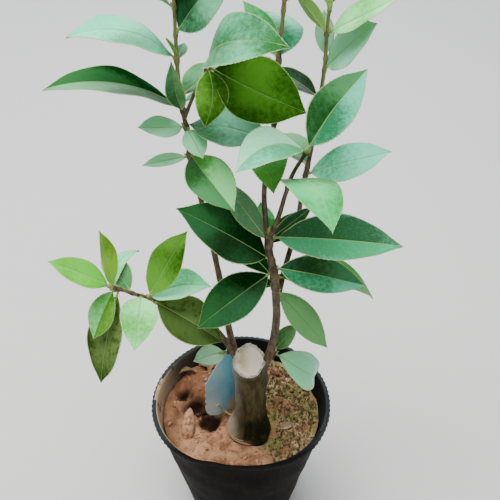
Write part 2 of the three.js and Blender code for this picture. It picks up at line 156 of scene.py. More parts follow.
class Finish:
    """A material and its main shader. Values that are the same all over go straight on the shader."""

    def __init__(self, name, **uniform):
        self.material = bpy.data.materials.new(name)
        self.material.use_nodes = True
        self.tree = self.material.node_tree
        self.shader = self.tree.nodes["Principled BSDF"]
        for socket, value in uniform.items():
            self.feed(socket.replace("_", " "), value)

    def connect(self, socket, value):
        if isinstance(value, Shade):
            self.tree.links.new(value.socket, socket)
        else:
            socket.default_value = value

    def feed(self, name, value):
        self.connect(self.shader.inputs[name], value)

    def node(self, kind, settings, sockets, output=0):
        node = self.tree.nodes.new(kind)
        for name, value in settings.items():
            setattr(node, name, value)
        for name, value in sockets.items():
            self.connect(node.inputs[name], value)
        return Shade(self, node.outputs[output])

    def place(self, stretch):
        """The place on the object in metres, stretched along each axis."""
        here = self.node("ShaderNodeTexCoord", {}, {}, "Object")
        return self.node("ShaderNodeMapping", {}, {"Vector": here, "Scale": stretch})

    def axis(self, index):
        here = self.node("ShaderNodeTexCoord", {}, {}, "Object")
        return self.node("ShaderNodeSeparateXYZ", {}, {0: here}, index)

    def grain(self, scale, detail, roughness, stretch=(1, 1, 1)):
        """Noise from 0 to 1, with scale in features per metre."""
        sockets = {"Vector": self.place(stretch), "Scale": scale, "Detail": detail, "Roughness": roughness}
        return self.node("ShaderNodeTexNoise", {}, sockets)

    def mix(self, mask, low, high):
        colors = [(*c, 1) if isinstance(c, tuple) and len(c) == 3 else c for c in (low, high)]
        return self.node("ShaderNodeMix", {"data_type": "RGBA"}, {0: mask, 6: colors[0], 7: colors[1]}, 2)

    def layered(self, color, *coats):
        """Lays coats over a first colour, each with a mask and a colour of its own."""
        for mask, coat in coats:
            color = self.mix(mask, color, coat)
        return color

    def bump(self, height, distance, strength):
        sockets = {"Height": height, "Distance": distance, "Strength": strength}
        self.feed("Normal", self.node("ShaderNodeBump", {}, sockets))


def tint(color, factor):
    return tuple(min(1.0, c * factor) for c in color)


def grained(name, grain, low, high, bump, ramp=None, **uniform):
    """A finish with one grain, which runs from one colour to another and roughens the surface."""
    finish = Finish(name, **uniform)
    pattern = finish.grain(*grain)
    finish.feed("Base Color", finish.mix(pattern.ramp(*ramp) if ramp else pattern, low, high))
    finish.bump(pattern, *bump)
    return finish


floor_finish = Finish("floor_paint", Base_Color=(0.72, 0.71, 0.69, 1), Roughness=0.8)
floor.data.materials.append(floor_finish.material)
print("classes ready, first finish:", floor_finish.material.name)

# %% [markdown]
# The pot, the soil and the stump are made by hand: a short round block is laid down, and its top face is
# extruded and scaled ring after ring along the profile. Each of them is then one closed skin with rings
# where the shape needs them. A lathe would do as well, but extruding also lets the axis lean.


# %% Growing a round piece ring by ring
def deselect():
    if bpy.context.object and bpy.context.object.mode == "EDIT":
        bpy.ops.object.mode_set(mode="OBJECT")
    bpy.ops.object.select_all(action="DESELECT")


def grow_round(name, rings, sides, fanned=False):
    """rings holds (height, radius, x, y) in millimetres. A fanned last face gets a point in its middle."""
    height, radius, x, y = rings[0]
    first_step = rings[1][0] - height
    deselect()
    bpy.ops.mesh.primitive_cylinder_add(
        vertices=sides,
        radius=radius * MM,
        depth=first_step * MM,
        location=(x * MM, y * MM, (height + first_step / 2) * MM),
    )
    piece = bpy.context.object
    piece.name = name
    bpy.ops.object.transform_apply(location=True, rotation=True, scale=True)
    bpy.ops.object.mode_set(mode="EDIT")
    bpy.ops.mesh.select_mode(type="FACE")
    bpy.ops.mesh.select_all(action="DESELECT")
    bpy.ops.object.mode_set(mode="OBJECT")
    top = max(piece.data.polygons, key=lambda face: face.center.z)
    top.select = True
    bpy.ops.object.mode_set(mode="EDIT")
    shift_and_scale(rings[0], rings[1], risen=True)
    for before, after in zip(rings[1:], rings[2:]):
        bpy.ops.mesh.extrude_region_move()
        shift_and_scale(before, after)
    if fanned:
        bpy.ops.mesh.poke()
    bpy.ops.object.mode_set(mode="OBJECT")
    return piece


def shift_and_scale(before, after, risen=False):
    rise = 0 if risen else (after[0] - before[0]) * MM
    shift = ((after[2] - before[2]) * MM, (after[3] - before[3]) * MM, rise)
    bpy.ops.transform.translate(value=shift)
    factor = after[1] / before[1]
    centre = (after[2] * MM, after[3] * MM, after[0] * MM)
    bpy.ops.transform.resize(value=(factor, factor, 1), center_override=centre)


def spread(stations, step):
    """Puts extra stations between those of a profile, so that none is further apart than step."""
    fine = [tuple(map(float, stations[0]))]
    for low, high in zip(stations, stations[1:]):
        parts = max(1, math.ceil(math.dist(low, high) / step))
        fine += [tuple(a + (b - a) * k / parts for a, b in zip(low, high)) for k in range(1, parts + 1)]
    return fine


def move_points(piece, rule):
    """Moves each point of a piece by a rule on its place in millimetres."""
    for vertex in piece.data.vertices:
        vertex.co = Vector(rule(*(c / MM for c in vertex.co))) * MM


def bell(x, width):
    return math.exp(-((x / width) ** 2))


def smooth(x, low, high):
    t = min(1.0, max(0.0, (x - low) / (high - low)))
    return t * t * (3 - 2 * t)


def turn(start, end):
    """The angle from one bearing to another, in degrees from -180 to 180."""
    return ((end - start) % 360 + 540) % 360 - 180


def finish_off(piece, nodes=(), angle=60):
    """Smooths a piece, hangs it on the body, and hides the solids of the frame that it stands for."""
    deselect()
    piece.select_set(True)
    bpy.context.view_layer.objects.active = piece
    bpy.ops.object.shade_smooth_by_angle(angle=math.radians(angle))
    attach(piece, BODY)
    for node in nodes:
        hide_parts(node)
    piece.data.update()
    print(piece.name, "has", len(piece.data.polygons), "faces")


print("helpers ready")

# %% [markdown]
# The pot is thin black polythene, blown soft, with a thick rolled lip that is finely ribbed for grip. It
# has been squeezed, so the front of the rim is pushed in and its lip there has rolled under. The lip, the
# wall and the floor are one skin, so the pot is hollow as the real one is.

# %% The pot
POT_HEIGHT = 140
RIM_RADIUS = 80
LIP_WIDTH = 4.5
LIP_DEPTH = 7
WALL = 1.4
FOOT_RADIUS = 48
FLOOR = 3
POT_SIDES = 192
DENTS = ((270, 7.5, 34), (251, 2.0, 8))  # bearing, depth in millimetres, reach in degrees
ROLLED_LIP = {"bearing": 258, "depth": 4.3, "reach": 36}
RIB_DEPTH = 0.9
FOLD_DEPTH = 1.6
RIPPLE_DEPTH = 0.5


def wall_radius(z):
    return FOOT_RADIUS + (RIM_RADIUS - LIP_WIDTH - FOOT_RADIUS) * z / (POT_HEIGHT - LIP_DEPTH)


def dent(bearing, z):
    inward = sum(deep * bell(turn(at, bearing), wide) for at, deep, wide in DENTS)
    return inward * smooth(z, POT_HEIGHT / 2, POT_HEIGHT)


def pressed(x, y, z):
    """The place of a point once the soft wall is pushed in."""
    r = math.hypot(x, y)
    if r < 1:
        return x, y, z
    bearing = math.degrees(math.atan2(y, x))
    inward = dent(bearing, z) * (r / RIM_RADIUS) ** 3
    return x * (1 - inward / r), y * (1 - inward / r), z


neck = POT_HEIGHT - LIP_DEPTH
outside = [(0, FOOT_RADIUS - 2), (1.2, FOOT_RADIUS - 0.6)] + [(z, wall_radius(z)) for z in (3, neck - 2)]
lip = [
    (neck - 0.6, wall_radius(neck) + 0.6),
    (neck + 0.6, RIM_RADIUS - 1.0),
    (neck + 1.8, RIM_RADIUS - 0.1),
    (POT_HEIGHT - 2.2, RIM_RADIUS),
    (POT_HEIGHT - 0.9, RIM_RADIUS - 0.4),
    (POT_HEIGHT - 0.1, RIM_RADIUS - 1.4),
    (POT_HEIGHT, RIM_RADIUS - 2.4),
    (POT_HEIGHT - 0.4, RIM_RADIUS - LIP_WIDTH + 0.2),
    (POT_HEIGHT - 1.6, wall_radius(neck) - 1.0),
]
inside = [(z, wall_radius(z) - WALL) for z in (neck - 3, FLOOR)] + [(FLOOR, 4)]
profile = spread(outside, 6) + lip + spread(inside, 6)
pot = grow_round("pot_shell", [(z, r, 0, 0) for z, r in profile], POT_SIDES)
print("pot rings:", len(profile))


# %% Pressing the pot and ribbing its lip
def soften(x, y, z):
    r = math.hypot(x, y)
    if r < 1:
        return x, y, z
    bearing = math.degrees(math.atan2(y, x))
    outward = 0.0
    front = bell(turn(ROLLED_LIP["bearing"], bearing), ROLLED_LIP["reach"])
    on_lip = smooth(z, neck - 0.5, neck + 1) * smooth(r, RIM_RADIUS - 2.5, RIM_RADIUS - 1)
    if round((bearing % 360) * POT_SIDES / 360) % 2:
        outward -= RIB_DEPTH * on_lip * (1 - front)
    outer = smooth(r, wall_radius(neck) - 1, RIM_RADIUS) * smooth(z, 120, 134)
    outward -= ROLLED_LIP["depth"] * front * outer
    folds = noise.noise(Vector((x / 30, y / 30, z / 16 + x / 40))) * smooth(z, 8, 40)
    outward += FOLD_DEPTH * folds * smooth(POT_HEIGHT - z, 4, 30)
    around = Vector((math.cos(math.radians(bearing)), math.sin(math.radians(bearing)), 3))
    sag = 1.2 * noise.noise(around * 1.7)
    z += (sag - 0.9) * smooth(z, 100, POT_HEIGHT) * 0.8
    ripple = noise.noise(Vector((x, y, z * 0.6)) / 14)
    outward += RIPPLE_DEPTH * ripple * smooth(z, 20, 60) * smooth(POT_HEIGHT - z, 0, 6)
    return pressed(x * (1 + outward / r), y * (1 + outward / r), z)


move_points(pot, soften)
print("dents:", len(DENTS))

# %% [markdown]
# The plastic is black. Its worn lip is a faint blue grey, partly wear and partly a painted sheen, which
# fades towards the front. Brown dust lies low on the wall, and pale clay dust has dried on the left of the
# inner wall. Dust lies in patches, so noise on the object's own coordinates breaks up its edge. The inside
# has a finish of its own, which begins just below the top of the lip, where no seam shows.

# %% The pot's finish
plastic = Finish("pot_plastic", Specular_IOR_Level=0.06)
height = plastic.axis(2)
patches = plastic.grain(60, 5, 0.6)
scuffs = plastic.grain(420, 4, 0.6, (1, 1, 0.35))
# the lip's painted sheen and its wear, weaker towards the front
not_front = plastic.axis(1).ramp(-0.058, -0.04)
lip_wear_and_sheen = height.ramp(0.1325, 0.1345) * (0.12 + not_front * 0.88)
dust_mask = (1 - height.ramp(0.02, 0.12)) * patches.ramp(0.45, 0.7)
drips = plastic.grain(85, 4, 0.6, (1, 1, 0.4)).ramp(0.5, 0.75) * (1 - lip_wear_and_sheen)
plastic_color = plastic.layered(
    plastic.mix(patches, (0.0015, 0.0013, 0.0004), (0.005, 0.0038, 0.0012)),
    (lip_wear_and_sheen * (0.35 + scuffs * 0.65), (0.055, 0.066, 0.072)),
    (dust_mask * 0.6, (0.022, 0.015, 0.008)),
    (drips * 0.5, (0.022, 0.014, 0.006)),
)
plastic.feed("Base Color", plastic_color)
plastic.feed("Roughness", 0.52 + scuffs * 0.2)
plastic.bump(scuffs, 0.0002, 0.5)

lining = Finish("pot_lining", Specular_IOR_Level=0.35)
clay_side = 1 - lining.axis(0).ramp(-0.052, -0.036)
front_side = 1 - lining.axis(1).ramp(0.012, 0.05)
smears = lining.grain(90, 5, 0.65)
clay_mask = clay_side * smears.ramp(0.25, 0.45)
tan_dust = lining.mix(front_side, (0.05, 0.045, 0.03), (0.5, 0.36, 0.22))
stained = lining.mix(clay_mask, (0.005, 0.005, 0.005), tan_dust)
lining.feed("Base Color", stained)
lining.feed("Roughness", 0.6 + smears * 0.3)
lining.bump(smears, 0.0004, 0.5)

pot.data.materials.append(plastic.material)
pot.data.materials.append(lining.material)
for face in pot.data.polygons:
    x, y, z = face.center
    looks_in = face.normal.x * x + face.normal.y * y < 0
    on_floor = abs(z - FLOOR * MM) < MM and math.hypot(x, y) < (FOOT_RADIUS - 2) * MM
    if looks_in and z < (POT_HEIGHT - 1.2) * MM or on_floor:
        face.material_index = 1
finish_off(pot, ["pot"])

# %% [markdown]
# The soil is dry red clay on the left, smooth, cracked and lumpy, with hollows in front of the label and to
# the left of it. On the right it is darker and mossy. One skin carries both: its rings are close together,
# and a rule gives each point its height from a few layers of noise, large for the clods and small for the
# grain.

# %% The soil
SOIL_LEVEL = 120
GAP = 0.3
SOIL_SIDES = 200
SEAT_RADIUS = 25
STUMP_FOOT = (9, -18)
HOLLOWS = ((-27, -8, 11, 12), (-41, 7, 10, 13), (-52, 24, 7, 11))  # x, y, depth and reach
TOP_RINGS = 58
CRACK_SEED = 1
shoulder = SOIL_LEVEL - 3
noise.seed_set(CRACK_SEED)  # Blender seeds its vector noise from the clock, unless it is told otherwise


def soil_edge(z):
    return wall_radius(z) - WALL - 2 * GAP


def clay_share(x, y):
    """1 on the bare clay at the left and front, 0 on the moss at the right."""
    wander = 9 * noise.noise(Vector((x, y, 0)) / 22)
    return 1 - smooth(x + 0.25 * y + wander, 4, 22)


def soil_height(x, y):
    from_stump = math.hypot(x - STUMP_FOOT[0], y - STUMP_FOOT[1])
    clods = 1.6 * math.sin(x * 0.13 + 1) * math.cos(y * 0.16) + 1.1 * math.sin(x * 0.31 - y * 0.22 + 2)
    away = [(deep, math.hypot(x - hx, y - hy) / wide) for hx, hy, deep, wide in HOLLOWS]
    hollow = max(deep * math.exp(-(share**3)) for deep, share in away)
    return SOIL_LEVEL + (1.5 + clods - hollow) * smooth(from_stump, SEAT_RADIUS, SEAT_RADIUS + 9)


def soil_skin(x, y, z):
    if z < SOIL_LEVEL - 0.5:
        return pressed(x, y, z)
    clay = clay_share(x, y)
    here = Vector((x, y, 0))
    bent = here + 4 * noise.noise_vector(here / 9)
    cells = noise.voronoi(bent / 15, distance_metric="DISTANCE")[0]
    crack = (1 - smooth(cells[1] - cells[0], 0.0, 0.11)) * smooth(noise.noise(here / 25), -0.1, 0.15)
    lumps = noise.fractal(here / 7, 0.8, 2.2, 4)
    crumbs = noise.fractal(here / 2.2 + Vector((9, 4, 2)), 0.6, 2.1, 3)
    cloddy = smooth(y - 0.4 * x, 18, 42)
    clods = abs(noise.noise(here / 6.5)) * 6 - 1.5 + crumbs
    rough = clay * ((1 - cloddy) * (0.7 * lumps + 0.25 * crumbs - 2.4 * crack) + cloddy * clods)
    rough += (1 - clay) * (1.5 * lumps + 1.1 * crumbs)
    near_wall = smooth(math.hypot(x, y), soil_edge(shoulder) - 9, soil_edge(shoulder))
    z = soil_height(x, y) + rough * (1 - 0.6 * near_wall) + 2.5 * near_wall * noise.noise(here / 12)
    return pressed(x, y, z)


soil_rings = [(z, soil_edge(z)) for z in (FLOOR + GAP, shoulder)]
top_rings = [(SOIL_LEVEL, soil_edge(shoulder) * (1 - k / TOP_RINGS)) for k in range(TOP_RINGS)]
soil_profile = spread(soil_rings, 12) + top_rings
soil = grow_round("soil_top", [(z, r, 0, 0) for z, r in soil_profile], SOIL_SIDES, fanned=True)
move_points(soil, soil_skin)
print("soil rings:", len(soil_profile))

# %% The soil's finish
earth = Finish("clay_and_moss", Specular_IOR_Level=0.2)
broad = earth.grain(45, 4, 0.55)
fine = earth.grain(330, 5, 0.65)
grit = earth.grain(1400, 3, 0.6)
# painted shade: the clay turns darker towards the left edge of the pot
left_painted_shade = (1 - earth.axis(0).ramp(-0.062, -0.046)) * (0.5 + broad * 0.5)
back_left = earth.axis(1).ramp(0.0, 0.03) * (1 - earth.axis(0).ramp(-0.02, 0.0))
clay = earth.layered(
    earth.mix(broad.ramp(0.3, 0.6), (0.17, 0.072, 0.034), (0.58, 0.31, 0.17)),
    (fine.ramp(0.5, 0.72), (0.18, 0.075, 0.036)),
    (grit.ramp(0.55, 0.75) * 0.5, (0.74, 0.48, 0.3)),
    (left_painted_shade * 0.75, (0.13, 0.06, 0.03)),
    (back_left * 0.7, (0.2, 0.075, 0.04)),
)
red_patch = earth.grain(70, 3, 0.5, (1, 1.4, 1)).ramp(0.52, 0.6)
moss = earth.layered(
    earth.mix(fine.ramp(0.38, 0.62), (0.06, 0.046, 0.018), (0.52, 0.38, 0.2)),
    (broad.ramp(0.45, 0.6) * 0.75, (0.17, 0.17, 0.045)),
    (red_patch * 0.75, (0.3, 0.14, 0.075)),
)
side = (earth.axis(0) + earth.axis(1) * 0.25 + (broad - 0.5) * 0.04).ramp(0.004, 0.022)
# painted shade: where the soil lies low, in the hollows, it turns nearly black
hollow_painted_shade = 1 - earth.axis(2).ramp(0.112, 0.1192)
ground_color = earth.layered(clay, (side, moss), (hollow_painted_shade * 0.96, (0.006, 0.002, 0.001)))
earth.feed("Base Color", ground_color)
earth.feed("Roughness", 0.95)
earth.bump(fine * 0.7 + grit * 0.3, 0.0012, 0.8)
soil.data.materials.append(earth.material)
finish_off(soil, ["soil"])

# %% [markdown]
# A few things lie on the soil: a long lump of clay, crumbs of it, and dead leaf scraps and moss. Crumbs are
# many, small and alike, so they are one joined mesh built from arrays: a rough ball is repeated with its
# own size, place and turn from a seeded rule. Each is sunk a little, so that none floats.


# %% Joined meshes from arrays
class Heap:
    """Collects points in millimetres, faces and their finishes for one joined mesh."""

    def __init__(self):
        self.points, self.faces, self.slots, self.count = [], [], [], 0

    def add(self, points, faces, slots=0):
        self.points.append(np.asarray(points))
        self.faces += [[i + self.count for i in face] for face in faces]
        self.slots += slots if isinstance(slots, list) else [slots] * len(faces)
        self.count += len(points)

    def piece(self, name, finishes):
        mesh = bpy.data.meshes.new(name)
        mesh.from_pydata((np.concatenate(self.points) * MM).tolist(), [], self.faces)
        for finish in finishes:
            mesh.materials.append(finish.material)
        mesh.polygons.foreach_set("material_index", self.slots)
        mesh.validate()
        piece = bpy.data.objects.new(name, mesh)
        bpy.context.scene.collection.objects.link(piece)
        return piece


def rough_ball():
    deselect()
    bpy.ops.mesh.primitive_ico_sphere_add(subdivisions=2, radius=1)
    ball = bpy.context.object
    points = np.array([v.co for v in ball.data.vertices])
    faces = [list(f.vertices) for f in ball.data.polygons]
    bpy.data.objects.remove(ball)
    return points, faces


def on_soil(x, y):
    """The soil's surface at a place, read from the same rule as its skin."""
    return soil_skin(x, y, SOIL_LEVEL)[2]


BALL_POINTS, BALL_FACES = rough_ball()
CRUMB_FLATNESS = 0.7
CRUMB_RISE = 0.4  # how far its middle stands above the soil, as a share of its half height
SCATTER_REACH = 66
STUMP_CLEARANCE = 22
LOWEST_GROUND = 117.5  # nothing is laid in the hollows below this height


def crumb(rng, x, y, size):
    """The points of a rough ball with its own stretch and turn."""
    offset = Vector((rng.uniform(0, 99), rng.uniform(0, 99), 0))
    stretch = np.array([rng.uniform(0.8, 1.5), rng.uniform(0.8, 1.2), CRUMB_FLATNESS])
    angle = rng.uniform(0, math.tau)
    c, s = math.cos(angle), math.sin(angle)
    spin = np.array([[c, s, 0], [-s, c, 0], [0, 0, 1]])
    base = np.array([x, y, on_soil(x, y) + size * CRUMB_FLATNESS * CRUMB_RISE])
    bumps = np.array([1 + 0.35 * noise.noise(Vector(p) * 1.4 + offset) for p in BALL_POINTS])
    return (BALL_POINTS * bumps[:, None] * stretch * size) @ spin + base


def scattered(rng, count, inside):
    spots = []
    while len(spots) < count:
        angle, r = rng.uniform(0, math.tau), SCATTER_REACH * math.sqrt(rng.random())
        x, y = r * math.cos(angle), r * math.sin(angle)
        clear_of_stump = math.hypot(x - STUMP_FOOT[0], y - STUMP_FOOT[1]) > STUMP_CLEARANCE
        if clear_of_stump and on_soil(x, y) > LOWEST_GROUND and inside(x, y):
            spots.append((x, y))
    return spots


print("points in a rough ball:", len(BALL_POINTS))

# %% Clay crumbs and the long lump
CLAY_CRUMBS = 150
LUMP = {"x": -47, "y": -13, "long": 18, "wide": 6.2}
CLAY_COLORS = ((0.26, 0.11, 0.055), (0.6, 0.34, 0.19))
dusty = {"bump": (0.0008, 0.8), "ramp": (0.35, 0.65), "Specular_IOR_Level": 0.2, "Roughness": 0.95}


def lump():
    taper = 1 + 0.22 * BALL_POINTS[:, 1:2] * -1
    bumps = np.array([1 + 0.22 * noise.noise(Vector(p) * 2.1) for p in BALL_POINTS])
    shaped = BALL_POINTS * bumps[:, None] * np.hstack([taper, np.ones_like(taper), taper])
    shaped = shaped * np.array([LUMP["wide"], LUMP["long"], LUMP["wide"] * 0.8])
    return shaped + np.array([LUMP["x"], LUMP["y"], on_soil(LUMP["x"], LUMP["y"]) + 1.2])


crumb_rng = random.Random(5)
clay_heap = Heap()
for x, y in scattered(crumb_rng, CLAY_CRUMBS, lambda x, y: clay_share(x, y) > 0.5):
    clay_heap.add(crumb(crumb_rng, x, y, crumb_rng.choice((0.5, 0.6, 0.8, 1.1, 1.9))), BALL_FACES)
clay_heap.add(lump(), BALL_FACES)
dry_clay = grained("dry_clay", (260, 5, 0.6), *CLAY_COLORS, **dusty)
clay_piece = clay_heap.piece("clay_crumbs", [dry_clay])
finish_off(clay_piece)

# %% Moss and dark crumbs
MOSS_TUFTS = 900
PEAT_CRUMBS = 170
MOSS_COLORS = {
    "moss_green": (0.15, 0.17, 0.035),
    "moss_tan": (0.36, 0.28, 0.12),
    "moss_dark": (0.07, 0.06, 0.022),
}
MOSS_BLADE = [[0, 1, 3], [1, 2, 3], [2, 0, 3], [2, 1, 0]]  # the faces of a blade with three edges
moss_rng = random.Random(8)
moss_heap = Heap()


def add_tuft(heap, rng, x, y, slot):
    """A low sprout of moss: three short leaning blades."""
    base = np.array([x, y, on_soil(x, y) - 0.3])
    height = rng.uniform(1.2, 3.2)
    for _ in range(3):
        angle = rng.uniform(0, math.tau)
        out = np.array([math.cos(angle), math.sin(angle), 0])
        side_way = np.array([-out[1], out[0], 0]) * 0.45
        lean = out * rng.uniform(0.4, 1.6)
        foot = [base - side_way, base + side_way, base + out * 0.5]
        heap.add([*foot, base + lean + [0, 0, height]], MOSS_BLADE, slot)


for x, y in scattered(moss_rng, MOSS_TUFTS, lambda x, y: clay_share(x, y) < 0.45):
    shade_slot = moss_rng.choice((0, 0, 1, 2))
    add_tuft(moss_heap, moss_rng, x, y, shade_slot)
moss_finishes = [Finish(name, Base_Color=(*c, 1), Roughness=0.9) for name, c in MOSS_COLORS.items()]
moss_piece = moss_heap.piece("moss", moss_finishes)
finish_off(moss_piece, angle=30)

peat_heap = Heap()
for x, y in scattered(moss_rng, PEAT_CRUMBS, lambda x, y: clay_share(x, y) < 0.6):
    peat_heap.add(crumb(moss_rng, x, y, moss_rng.choice((0.6, 0.9, 1.3, 2.0))), BALL_FACES)
peat = grained("peaty_crumbs", (300, 4, 0.6), (0.07, 0.04, 0.02), (0.24, 0.15, 0.08), **dusty)
peat_piece = peat_heap.piece("peat_crumbs", [peat])
finish_off(peat_piece)

# %% [markdown]
# The stump is an old stock, thick at the foot and sawn off at a slant just above its shoots. It is grown
# upwards from a round block like the pot, and its last faces are drawn inwards to make the sawn face. A
# rule then pushes each point out at the swellings, roughens the bark and tilts the cut.

# %% The stump
STUMP_BASE = SOIL_LEVEL + GAP
STUMP_HEIGHT = 87
STUMP_LEAN = (-1, 2)  # how far the top stands from the foot, in millimetres
CUT_TILT = 22
STUMP_SIDES = 112
CUT_RADIUS = 12.7
STUMP_PROFILE = ((0, 17.5), (4, 17), (10, 15.5), (20, 13.8), (34, 12.9), (52, 12.5), (66, 12.6), (77, 13))
# bearing, height, how far it stands out, reach in degrees, reach in millimetres
STUMP_SWELLINGS = ((190, 8, 5, 45, 12), (300, 3, 2, 30, 9), (-5, 66, 3, 32, 9), (145, 76, 3, 34, 10))
CUT_OUTLINE = ((200, 1.6, 24), (320, -1.1, 22), (100, 0.9, 26), (255, 0.8, 18))  # bearing, out, reach


def stump_axis(height):
    share = height / STUMP_HEIGHT
    return STUMP_FOOT[0] + STUMP_LEAN[0] * share, STUMP_FOOT[1] + STUMP_LEAN[1] * share


def stump_ring(height, radius):
    return (STUMP_BASE + height, radius, *stump_axis(height))


bark_rings = spread(STUMP_PROFILE + ((84, 13.1),), 1.3) + [(85.4, 13.0), (86.4, 12.85)]
cut_rings = [(STUMP_HEIGHT, CUT_RADIUS - 0.5 * k) for k in range(25)]
stump_rings = [stump_ring(*ring) for ring in bark_rings + cut_rings]
stump = grow_round("stump_bark", stump_rings, STUMP_SIDES, fanned=True)
print("stump rings:", len(stump_rings))


# %% Bark relief and the tilted cut
def swelling(bearing, height):
    out = sum(o * bell(turn(at, bearing), w) * bell(height - h, t) for at, h, o, w, t in STUMP_SWELLINGS)
    return out + 0.35 * math.sin(math.radians(bearing) * 5 + height * 0.08)


def cut_outline(bearing):
    return sum(out * bell(turn(at, bearing), wide) for at, out, wide in CUT_OUTLINE)


def barked(x, y, z):
    height = z - STUMP_BASE
    axis_x, axis_y = stump_axis(height)
    dx, dy = x - axis_x, y - axis_y
    r = math.hypot(dx, dy)
    if r < 0.01:
        return x, y, z - 0.9
    bearing = math.degrees(math.atan2(dy, dx))
    here = Vector((x, y, z * 0.4))
    grooves = 0.45 * noise.fractal(here / 3.1, 0.7, 2.1, 4) + 0.25 * noise.noise(Vector((x, y, z * 2)) / 4.5)
    if height < STUMP_HEIGHT - 0.1:
        near_cut = smooth(height, 74, STUMP_HEIGHT)
        grown = r + swelling(bearing, height) + grooves + cut_outline(bearing) * near_cut
        rise = 0
    else:
        rim = CUT_RADIUS + swelling(bearing, STUMP_HEIGHT) + cut_outline(bearing)
        rim += 0.5 * noise.noise(Vector((dx, dy, 7)) / 2.2)
        grown = rim * r / CUT_RADIUS
        back = smooth(turn(45, bearing) ** 2, 110**2, 60**2)
        ragged = smooth(r, CUT_RADIUS - 2.6, CUT_RADIUS - 0.8) * (0.3 + 0.7 * back)
        dish = 1.0 * (1 - smooth(r, 0, CUT_RADIUS - 1)) + 0.7 * bell(r - CUT_RADIUS + 3.1, 0.9) * back
        rise = ragged * (0.7 + 1.4 * noise.noise(Vector((dx, dy, 1)) / 1.9)) - dish
        rise += 0.16 * math.sin(r * 5 + 1.4 * noise.noise(Vector((dx, dy, 3)) / 5))
    k = grown / r
    tilted = min(1.0, max(0.0, (height - 77) / 9))
    return axis_x + dx * k, axis_y + dy * k, z + rise + dy * k * math.tan(math.radians(CUT_TILT)) * tilted


heights, reaches = [], []
for vertex in stump.data.vertices:
    heights.append(vertex.co.z / MM - STUMP_BASE)
    axis = [c * MM for c in stump_axis(heights[-1])]
    reaches.append(math.dist(vertex.co[:2], axis) / MM)
for face in stump.data.polygons:
    low = min(heights[i] for i in face.vertices)
    reach = max(reaches[i] for i in face.vertices)
    middle = face.center / MM
    from_back = abs(turn(60, math.degrees(math.atan2(middle.y + 16, middle.x - 8))))
    rim_width = 1.9 if from_back < 85 else 0.7
    if low > STUMP_HEIGHT - 0.7:
        face.material_index = 2 if reach > CUT_RADIUS - rim_width else 1
move_points(stump, barked)
print("cut radius:", CUT_RADIUS)

# %% [markdown]
# Camellia bark is smooth and fawn grey when young, and browner and mossy where it stays damp. The finish is
# built up in layers over the height of the stump: dark mossy green low down on the right, brown in the
# middle, a painted highlight down the left side, a paler grey where the sawn rim has dried, and a pale
# painted highlight on the swelling at the left of the foot, which faces the sky.

# %% The bark's finish
bark = Finish("stump_bark", Specular_IOR_Level=0.3)
stripes = bark.grain(260, 5, 0.6, (1, 1, 0.3))
specks = bark.grain(900, 3, 0.6)
height = bark.axis(2)
east = bark.axis(0)
north = bark.axis(1)
mossy = bark.mix(stripes.ramp(0.4, 0.7), (0.007, 0.012, 0.002), (0.03, 0.034, 0.008))
damp = (1 - height.ramp(0.142, 0.153)) * east.ramp(-0.007, 0.008)
# painted highlight down the left side of the stump
left_highlight = (1 - east.ramp(-0.012, 0.004)) * (0.35 + stripes * 0.7)
# painted highlight on the swelling at the left of the foot, which faces the sky
flare_highlight = (1 - east.ramp(-0.017, -0.002)) * (1 - height.ramp(0.132, 0.152))
dried = height.ramp(0.1975, 0.2035) * (1 - north.ramp(-0.026, -0.012))
clay_foot = (1 - height.ramp(0.1225, 0.128)) * (1 - east.ramp(0.004, 0.014))
lenticels = bark.grain(520, 2, 0.4, (1, 1, 2.2)).ramp(0.66, 0.74)
bark_color = bark.layered(
    bark.mix(stripes.ramp(0.35, 0.65), (0.036, 0.024, 0.007), (0.10, 0.074, 0.026)),
    (damp, mossy),
    (left_highlight, (0.5, 0.46, 0.36)),
    (flare_highlight * 0.85, (0.86, 0.66, 0.42)),
    (dried * stripes.ramp(0.3, 0.55), (0.15, 0.115, 0.09)),
    (clay_foot * specks.ramp(0.3, 0.6), (0.24, 0.115, 0.055)),
    (lenticels * 0.45, (0.2, 0.16, 0.1)),
)
bark.feed("Base Color", bark_color)
bark.feed("Roughness", 0.62 + stripes * 0.25)
bark.bump(stripes * 0.7 + specks * 0.3, 0.0007, 0.8)

sawn = Finish("sawn_wood", Specular_IOR_Level=0.25)
sawn_grain = sawn.grain(520, 4, 0.6)
stains = sawn.grain(120, 3, 0.5)
cream = sawn.mix(sawn_grain.ramp(0.3, 0.7), (0.98, 0.86, 0.58), (1.0, 0.98, 0.88))
left_stain = 1 - sawn.axis(0).ramp(-0.002, 0.010)
cream = sawn.mix(left_stain * stains.ramp(0.35, 0.6), cream, (0.72, 0.5, 0.27))
sawn.feed("Base Color", cream)
sawn.feed("Roughness", 0.75)
sawn.bump(sawn_grain, 0.0005, 0.7)

torn = grained(
    "torn_rim",
    (620, 3, 0.6),
    (0.42, 0.36, 0.26),
    (0.86, 0.84, 0.76),
    bump=(0.0006, 0.8),
    ramp=(0.4, 0.62),
    Specular_IOR_Level=0.25,
    Roughness=0.85,
)
for finish in (bark, sawn, torn):
    stump.data.materials.append(finish.material)
finish_off(stump, ["trunk"], 45)

# %% [markdown]
# The label is a thin blue plastic plate with a narrow neck, pushed into the soil between the stump and the
# hollows. A flat grid is shaped to its outline, then Solidify gives it thickness and a Boolean cuts the
# hole for the tie. It carries no words. Its only pattern is dust: grey along the left, nearly white low
# down there, and tan at the lower right.

